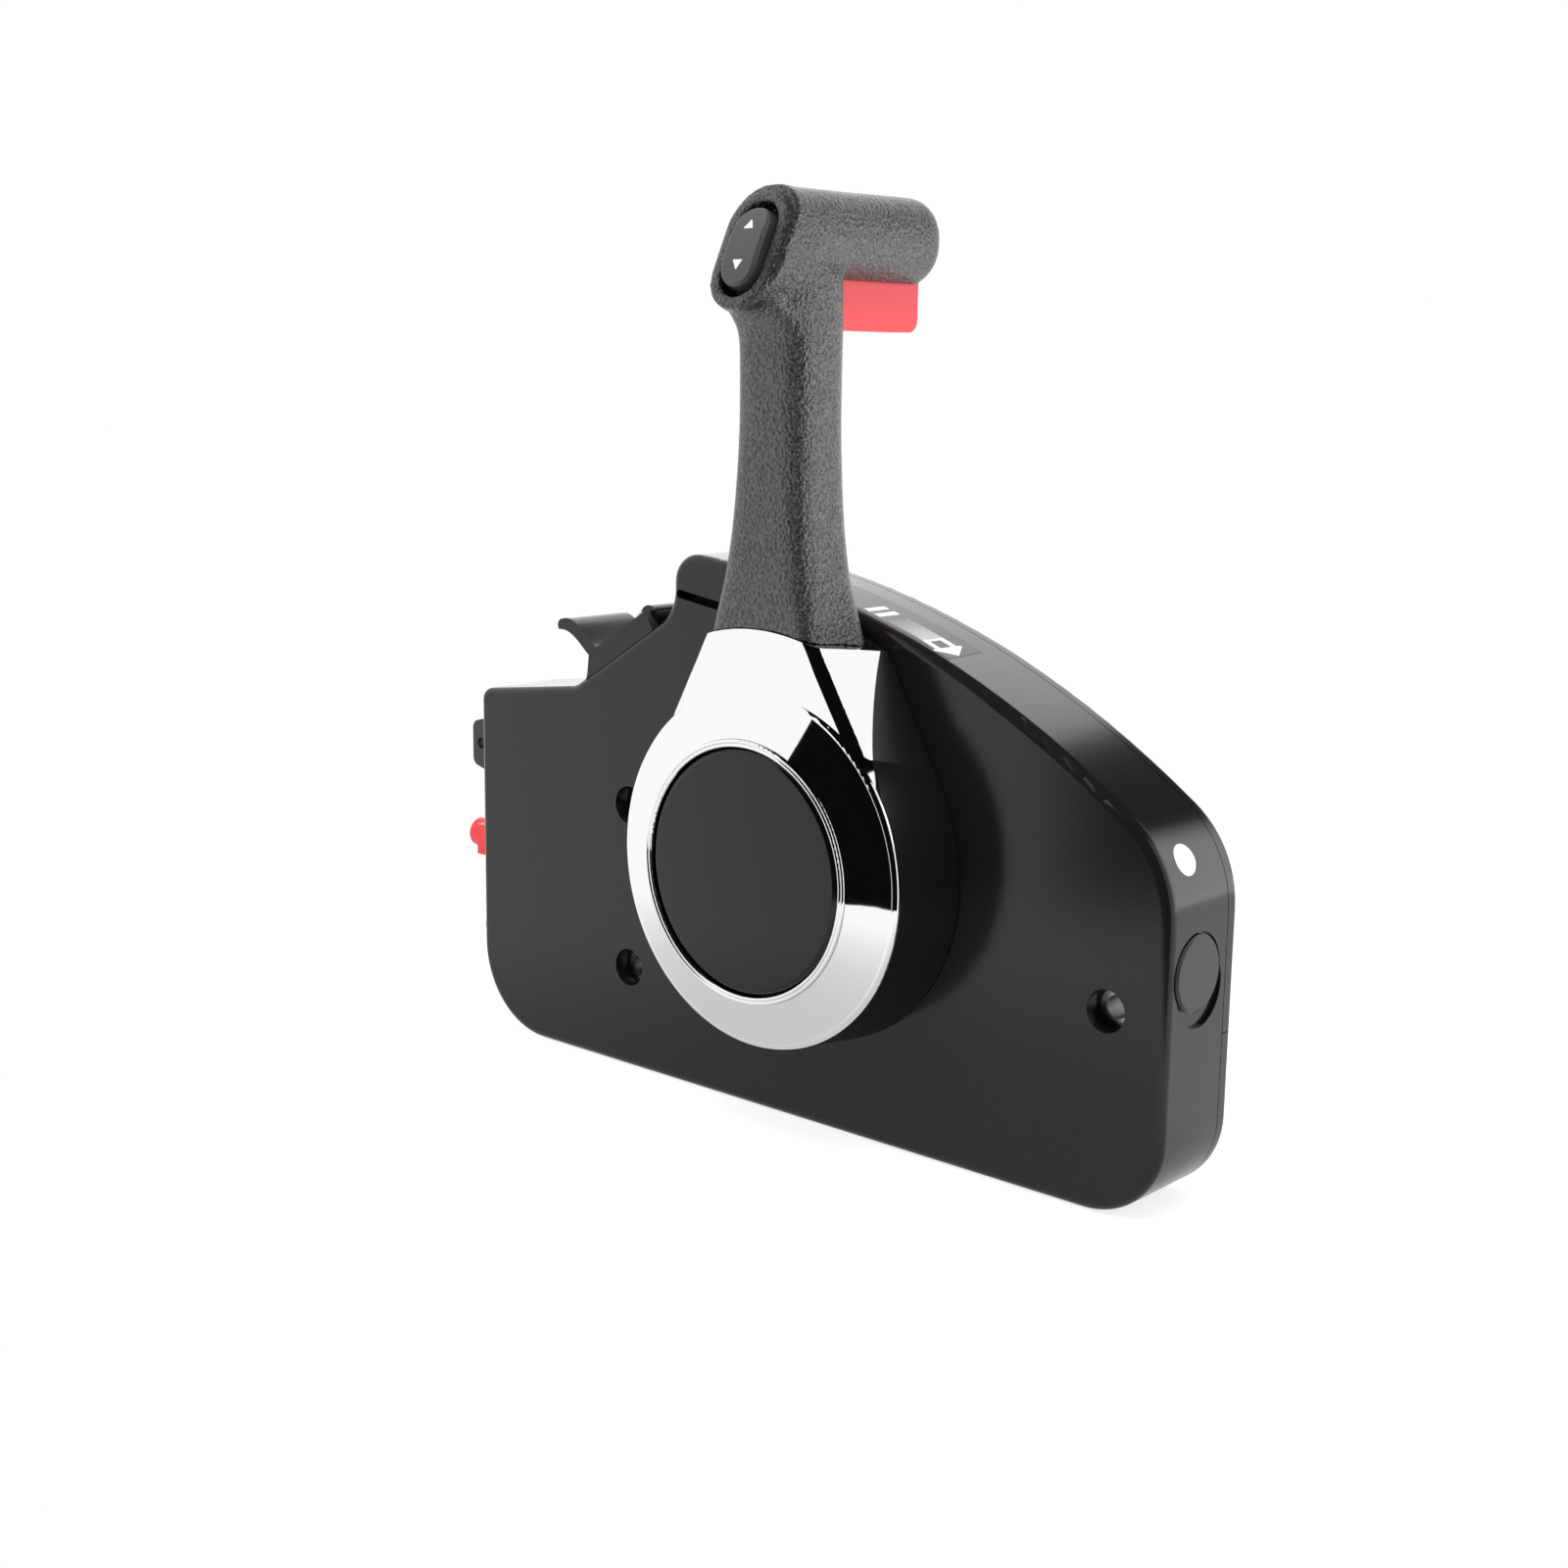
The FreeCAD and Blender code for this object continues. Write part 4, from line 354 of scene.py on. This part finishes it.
# a slab on the roof: each end is an x at the front and an x at the back, with straight edges between
def roofPatch(name, left, right, front, back, lift=0.0):
    u, v = unitGrid(*roof["grid"])
    y = front + (back - front) * (v + 1) / 2
    start = left[0] + (left[1] - left[0]) * (v + 1) / 2
    end = right[0] + (right[1] - right[0]) * (v + 1) / 2
    x = start + (end - start) * (u + 1) / 2
    return closedSlab(name, onRoof(x, y, roof["proud"] + lift), onRoof(x, y, -roof["sunk"]))


def joinedMeshes(name, meshes):
    whole = bmesh.new()
    for mesh in meshes:
        whole.from_mesh(mesh)
        bpy.data.meshes.remove(mesh)
    mesh = bpy.data.meshes.new(name)
    whole.to_mesh(mesh)
    whole.free()
    return mesh


def placeMark(name, mesh, finishName, body):
    mark = dress(addObject(name, mesh), finishName)
    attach(mark, body)


# the position scale beside the lever: a plate, a neutral mark of two bars, a band of hatching and an arrow
# whose outline has three edges and a head; all in mm, the marks from near to far along y
scale = {"front": -31.6, "back": -14.0, "plate": (-4.0, 47.4), "slant": 1.0, "marks": (-30.2, -20.8),
         "neutral": (14.6, 20.8), "barWidth": 2.2, "hatch": (24.0, 36.4), "hatchLines": 24,
         "hatchWidths": (0.1, 0.42), "arrow": (36.4, 42.6), "arrowTip": 46.6, "barb": 1.7,
         "nearEdge": 2.0, "farEdge": 2.4, "tailEdge": 1.4, "overlap": 0.6, "lift": 0.06, "headLift": 0.07}


def makeScale():
    near, far = scale["marks"]
    lift, headLift = scale["lift"], scale["headLift"]
    x0, x1 = scale["plate"]
    plate = roofPatch("plate", (x0, x0), (x1, x1 - scale["slant"]), scale["front"], scale["back"])
    placeMark("scalePlate", plate, "labelBlack", "case")
    x0, x1 = scale["neutral"]
    wide = scale["barWidth"]
    neutral = [roofPatch("bar", (x0, x0), (x0 + wide, x0 + wide), near, far, lift),
               roofPatch("bar", (x1 - wide, x1 - wide), (x1, x1), near, far, lift)]
    placeMark("neutralMark", joinedMeshes("neutralMark", neutral), "printWhite", "case")
    places = np.linspace(*scale["hatch"], scale["hatchLines"])
    widths = np.linspace(*scale["hatchWidths"], scale["hatchLines"])
    lines = [roofPatch("line", (x, x), (x + width, x + width), near, far, lift)
             for x, width in zip(places, widths)]
    placeMark("hatchMark", joinedMeshes("hatchMark", lines), "printGrey", "case")
    x0, x1 = scale["arrow"]
    tip, barb, middle = scale["arrowTip"], scale["barb"], (near + far) / 2
    tail, neck = x0 + scale["tailEdge"], x1 - scale["overlap"]
    inner, outer = near + scale["nearEdge"], far - scale["farEdge"]
    arrow = [roofPatch("edge", (x0, x0), (x1, x1), near, inner, lift),
             roofPatch("edge", (x0, x0), (x1, x1), outer, far, lift),
             roofPatch("edge", (x0, x0), (tail, tail), inner, outer, lift),
             roofPatch("head", (neck, neck), (x1, tip), near - barb, middle, headLift),
             roofPatch("head", (neck, neck), (tip, x1), middle, far + barb, headLift)]
    placeMark("arrowMark", joinedMeshes("arrowMark", arrow), "printWhite", "case")


makeScale()

# the sticker's radius and place, and the shoulder's arc under it, in mm
sticker = {"radius": 4.6, "y": -22.6, "z": 16.8, "centre": (91.5, 0.08), "shoulder": 35.0,
           "proud": 0.09, "sunk": 0.05, "grid": (17, 17)}


# a plain round sticker bent round the shoulder: the grid's u and v become a disc by u * sqrt(1 - v*v/2)
# and v * sqrt(1 - u*u/2), and the second is then wound on the shoulder's arc
def makeSticker():
    u, v = unitGrid(*sticker["grid"])
    across = u * np.sqrt(1 - v * v / 2) * sticker["radius"]
    along = v * np.sqrt(1 - u * u / 2) * sticker["radius"]
    start = math.asin((sticker["z"] - sticker["centre"][1]) / sticker["shoulder"])
    turn = start + along / sticker["shoulder"]

    def layer(height):
        radius = sticker["shoulder"] + height
        return np.stack([sticker["centre"][0] + radius * np.cos(turn), sticker["y"] + across,
                         sticker["centre"][1] + radius * np.sin(turn)], -1) * mm

    disc = closedSlab("roundSticker", layer(sticker["proud"]), layer(-sticker["sunk"]))
    placeMark("roundSticker", disc, "labelWhite", "case")


makeSticker()

# the rocker's crown and the triangles on it, in mm; the tip keeps a little of the width
rockerMarks = {"crown": 46.0, "rise": 2.6, "half": 1.7, "height": 2.7, "places": (5.9, -5.9), "taper": 0.94,
               "start": 0.4, "proud": 0.07, "sunk": 0.05, "grid": (9, 9)}


# a triangle near each end of the rocker, pointing away from its middle: its width shrinks evenly along it
def makeRockerMarks():
    lean = math.radians(switchFace["lean"])
    upY, upZ = math.sin(lean), math.cos(lean)
    outY, outZ = -math.cos(lean), math.sin(lean)
    meshes = []
    for place in rockerMarks["places"]:
        side = math.copysign(1.0, place)
        u, v = unitGrid(*rockerMarks["grid"])
        share = (v + 1) / 2
        x = u * rockerMarks["half"] * (1 - rockerMarks["taper"] * share)
        up = place + side * (share - rockerMarks["start"]) * rockerMarks["height"]

        def layer(height):
            crown = rockerMarks["crown"]
            out = rockerMarks["rise"] - crown + np.sqrt(crown * crown - up * up) + height
            return np.stack([x, switchFace["y"] + up * upY + out * outY,
                             switchFace["z"] + up * upZ + out * outZ], -1) * mm

        meshes.append(closedSlab("triangle", layer(rockerMarks["proud"]), layer(-rockerMarks["sunk"])))
    placeMark("rockerMarks", joinedMeshes("rockerMarks", meshes), "printWhite", "rocker")


makeRockerMarks()
print("marks made")


# the stage's floor: near the part it takes shadows, and further out it is white; reflections see it darker
# in front of the part and brighter behind it
stageSizes = {"floorRadius": 6.0, "floorPoints": 96, "floorDrop": 0.0002, "nearRadius": 0.12,
              "farRadius": 0.3, "floorShade": 0.45, "floorGlow": 0.78, "paper": 0.86, "frontMirror": 0.6,
              "backMirror": 1.27, "mirrorEdge": (-0.03, 0.05), "fill": 0.55}


def makeFloor():
    z = cadLow.z - stageSizes["floorDrop"]
    points = stageSizes["floorPoints"]
    turn = np.linspace(0, 2 * np.pi, points, endpoint=False)
    rim = np.stack([np.cos(turn), np.sin(turn), np.zeros(points)], 1) * stageSizes["floorRadius"] + [0, 0, z]
    mesh = bpy.data.meshes.new("floor")
    mesh.from_pydata(rim.tolist(), [], [list(range(points))])
    floor = addObject("floor", mesh)
    material = bpy.data.materials.new("floorPaper")
    material.use_nodes = True
    tree = material.node_tree
    tree.nodes.clear()
    out = tree.nodes.new("ShaderNodeOutputMaterial")
    path = tree.nodes.new("ShaderNodeLightPath")
    place = tree.nodes.new("ShaderNodeTexCoord")

    def diffuse(level):
        node = tree.nodes.new("ShaderNodeBsdfDiffuse")
        node.inputs["Color"].default_value = (level, level, level, 1)
        return node.outputs[0]

    def glowing(level):
        node = tree.nodes.new("ShaderNodeEmission")
        node.inputs["Strength"].default_value = level
        return node.outputs[0]

    def mixed(factor, first, second):
        node = tree.nodes.new("ShaderNodeMixShader")
        linkNodes(tree, (factor, node.inputs[0]), (first, node.inputs[1]), (second, node.inputs[2]))
        return node.outputs[0]

    near = tree.nodes.new("ShaderNodeAddShader")
    reach = tree.nodes.new("ShaderNodeVectorMath")
    reach.operation = "LENGTH"
    ramp = tree.nodes.new("ShaderNodeMapRange")
    ramp.interpolation_type = "SMOOTHSTEP"
    ramp.inputs["From Min"].default_value = stageSizes["nearRadius"]
    ramp.inputs["From Max"].default_value = stageSizes["farRadius"]
    linkNodes(tree, (diffuse(stageSizes["floorShade"]), near.inputs[0]),
              (glowing(stageSizes["floorGlow"]), near.inputs[1]),
              (place.outputs["Object"], reach.inputs[0]), (reach.outputs["Value"], ramp.inputs["Value"]))
    seen = mixed(ramp.outputs["Result"], near.outputs[0], glowing(1.0))
    front = mixed(ramp.outputs["Result"], glowing(stageSizes["frontMirror"]), glowing(1.0))
    parts = tree.nodes.new("ShaderNodeSeparateXYZ")
    behind = tree.nodes.new("ShaderNodeMapRange")
    edge = stageSizes["mirrorEdge"]
    behind.inputs["From Min"].default_value, behind.inputs["From Max"].default_value = edge
    linkNodes(tree, (place.outputs["Object"], parts.inputs["Vector"]),
              (parts.outputs["Y"], behind.inputs["Value"]))
    mirror = mixed(behind.outputs["Result"], front, glowing(stageSizes["backMirror"]))
    mirrored = mixed(path.outputs["Is Glossy Ray"], diffuse(stageSizes["paper"]), mirror)
    linkNodes(tree, (mixed(path.outputs["Is Camera Ray"], mirrored, seen), out.inputs["Surface"]))
    mesh.materials.append(material)


makeFloor()

lamps = {
    "overhead": {"at": (0.15, -0.25, 1.15), "aim": (0.0, -0.03, 0.05), "size": (1.1, 0.8), "watts": 15.0},
    "rightSide": {"at": (0.85, 0.75, 0.16), "aim": (0.0, -0.03, 0.05), "size": (0.9, 1.2), "watts": 5.1,
                  "mirrored": True},
    "leftFront": {"at": (-0.75, -0.95, 0.65), "aim": (0.0, -0.03, 0.08), "size": (0.7, 0.7), "watts": 6.0},
    "behindLeft": {"at": (-0.58, 0.95, 0.5), "aim": (0.0, -0.03, 0.05), "size": (1.15, 1.0), "watts": 3.4,
                   "mirrored": True},
}


def makeLamp(name, lamp):
    data = bpy.data.lights.new(name, "AREA")
    data.shape = "RECTANGLE"
    data.size, data.size_y = lamp["size"]
    data.energy = lamp["watts"]
    obj = addObject(name, data)
    obj.location = lamp["at"]
    obj.rotation_euler = (Vector(lamp["aim"]) - Vector(lamp["at"])).to_track_quat("-Z", "Y").to_euler()
    obj.visible_glossy = lamp.get("mirrored", False)


for lampName, lamp in lamps.items():
    makeLamp(lampName, lamp)


# dark cloths that only reflections see: one curved round the front and right, one hung behind and one
# overhead; they give the bright rings, the roof and the rounded edges their dark side
cloths = {"radius": 0.29, "back": -0.06, "from": -21.5, "to": 84.0, "top": 0.42, "drop": 0.001,
          "columns": 60, "rows": 8, "behind": 1.0, "left": -0.075, "right": 0.385, "low": 0.5, "high": 1.5,
          "overhead": 1.5, "overheadX": (-0.5, 1.3), "overheadY": (-1.3, 1.3), "shade": 0.003}


def makeCloth(name, points):
    index = np.arange(points[..., 0].size).reshape(points.shape[:2])
    faces = np.stack([index[:-1, :-1], index[1:, :-1], index[1:, 1:], index[:-1, 1:]], -1).reshape(-1, 4)
    mesh = bpy.data.meshes.new(name)
    mesh.from_pydata(points.reshape(-1, 3).tolist(), [], faces.tolist())
    cloth = bpy.data.materials.new(name)
    cloth.use_nodes = True
    shader = cloth.node_tree.nodes["Principled BSDF"]
    shader.inputs["Base Color"].default_value = (cloths["shade"], cloths["shade"], cloths["shade"], 1)
    shader.inputs["Roughness"].default_value = 1.0
    shader.inputs["Specular IOR Level"].default_value = 0.0
    mesh.materials.append(cloth)
    obj = addObject(name, mesh)
    obj.visible_camera = False
    obj.visible_diffuse = False
    obj.visible_shadow = False


# the front one's points are x = r sin a, y = back - r cos a; the others are flat
def makeCloths():
    turn, height = np.meshgrid(np.radians(np.linspace(cloths["from"], cloths["to"], cloths["columns"])),
                               np.linspace(cadLow.z - cloths["drop"], cloths["top"], cloths["rows"]),
                               indexing="ij")
    makeCloth("frontCloth", np.stack([cloths["radius"] * np.sin(turn),
                                      cloths["back"] - cloths["radius"] * np.cos(turn), height], -1))
    across, height = np.meshgrid([cloths["left"], cloths["right"]], [cloths["low"], cloths["high"]],
                                 indexing="ij")
    makeCloth("backCloth", np.stack([across, np.full_like(across, cloths["behind"]), height], -1))
    across, along = np.meshgrid(cloths["overheadX"], cloths["overheadY"], indexing="ij")
    makeCloth("topCloth", np.stack([across, along, np.full_like(across, cloths["overhead"])], -1))


makeCloths()


# white for the camera and for reflections, a weaker even light for everything else
def makeSurround():
    world = bpy.data.worlds.new("surround")
    bpy.context.scene.world = world
    world.use_nodes = True
    tree = world.node_tree
    tree.nodes.clear()
    out = tree.nodes.new("ShaderNodeOutputWorld")
    even = tree.nodes.new("ShaderNodeBackground")
    even.inputs["Color"].default_value = (1, 1, 1, 1)
    even.inputs["Strength"].default_value = stageSizes["fill"]
    white = tree.nodes.new("ShaderNodeBackground")
    white.inputs["Color"].default_value = (1, 1, 1, 1)
    white.inputs["Strength"].default_value = 1.0
    mix = tree.nodes.new("ShaderNodeMixShader")
    path = tree.nodes.new("ShaderNodeLightPath")
    direct = tree.nodes.new("ShaderNodeMath")
    direct.operation = "MAXIMUM"
    through = tree.nodes.new("ShaderNodeMath")
    through.operation = "MAXIMUM"
    linkNodes(tree, (path.outputs["Is Camera Ray"], direct.inputs[0]),
              (path.outputs["Is Glossy Ray"], direct.inputs[1]), (direct.outputs[0], through.inputs[0]),
              (path.outputs["Is Transmission Ray"], through.inputs[1]),
              (through.outputs[0], mix.inputs["Fac"]), (even.outputs[0], mix.inputs[1]),
              (white.outputs[0], mix.inputs[2]), (mix.outputs[0], out.inputs["Surface"]))


makeSurround()

# the photograph's view, fitted to the case's edges and the hub's circles
cameraFit = {"azimuth": 41.65, "elevation": 10.88, "roll": 0.77, "place": (0.418, -0.518, 0.145),
             "lens": 49.5, "sensor": 36.0, "clip": (0.01, 20.0)}


def makeCamera():
    azimuth, elevation, roll = (math.radians(cameraFit[key]) for key in ("azimuth", "elevation", "roll"))
    back = np.array([math.sin(azimuth) * math.cos(elevation), -math.cos(azimuth) * math.cos(elevation),
                     math.sin(elevation)])
    right = np.array([math.cos(azimuth), math.sin(azimuth), 0.0])
    up = np.cross(back, right)
    turnedRight = right * math.cos(roll) + up * math.sin(roll)
    turnedUp = -right * math.sin(roll) + up * math.cos(roll)
    data = bpy.data.cameras.new("camera")
    data.sensor_width = cameraFit["sensor"]
    data.lens = cameraFit["lens"]
    data.clip_start, data.clip_end = cameraFit["clip"]
    camera = addObject("camera", data)
    axes = np.stack([turnedRight, turnedUp, back], 1)
    camera.matrix_world = Matrix.Translation(cameraFit["place"]) @ Matrix(axes.tolist()).to_4x4()
    bpy.context.scene.camera = camera


makeCamera()
bpy.context.scene.view_settings.view_transform = "Standard"
print("stage and camera made")
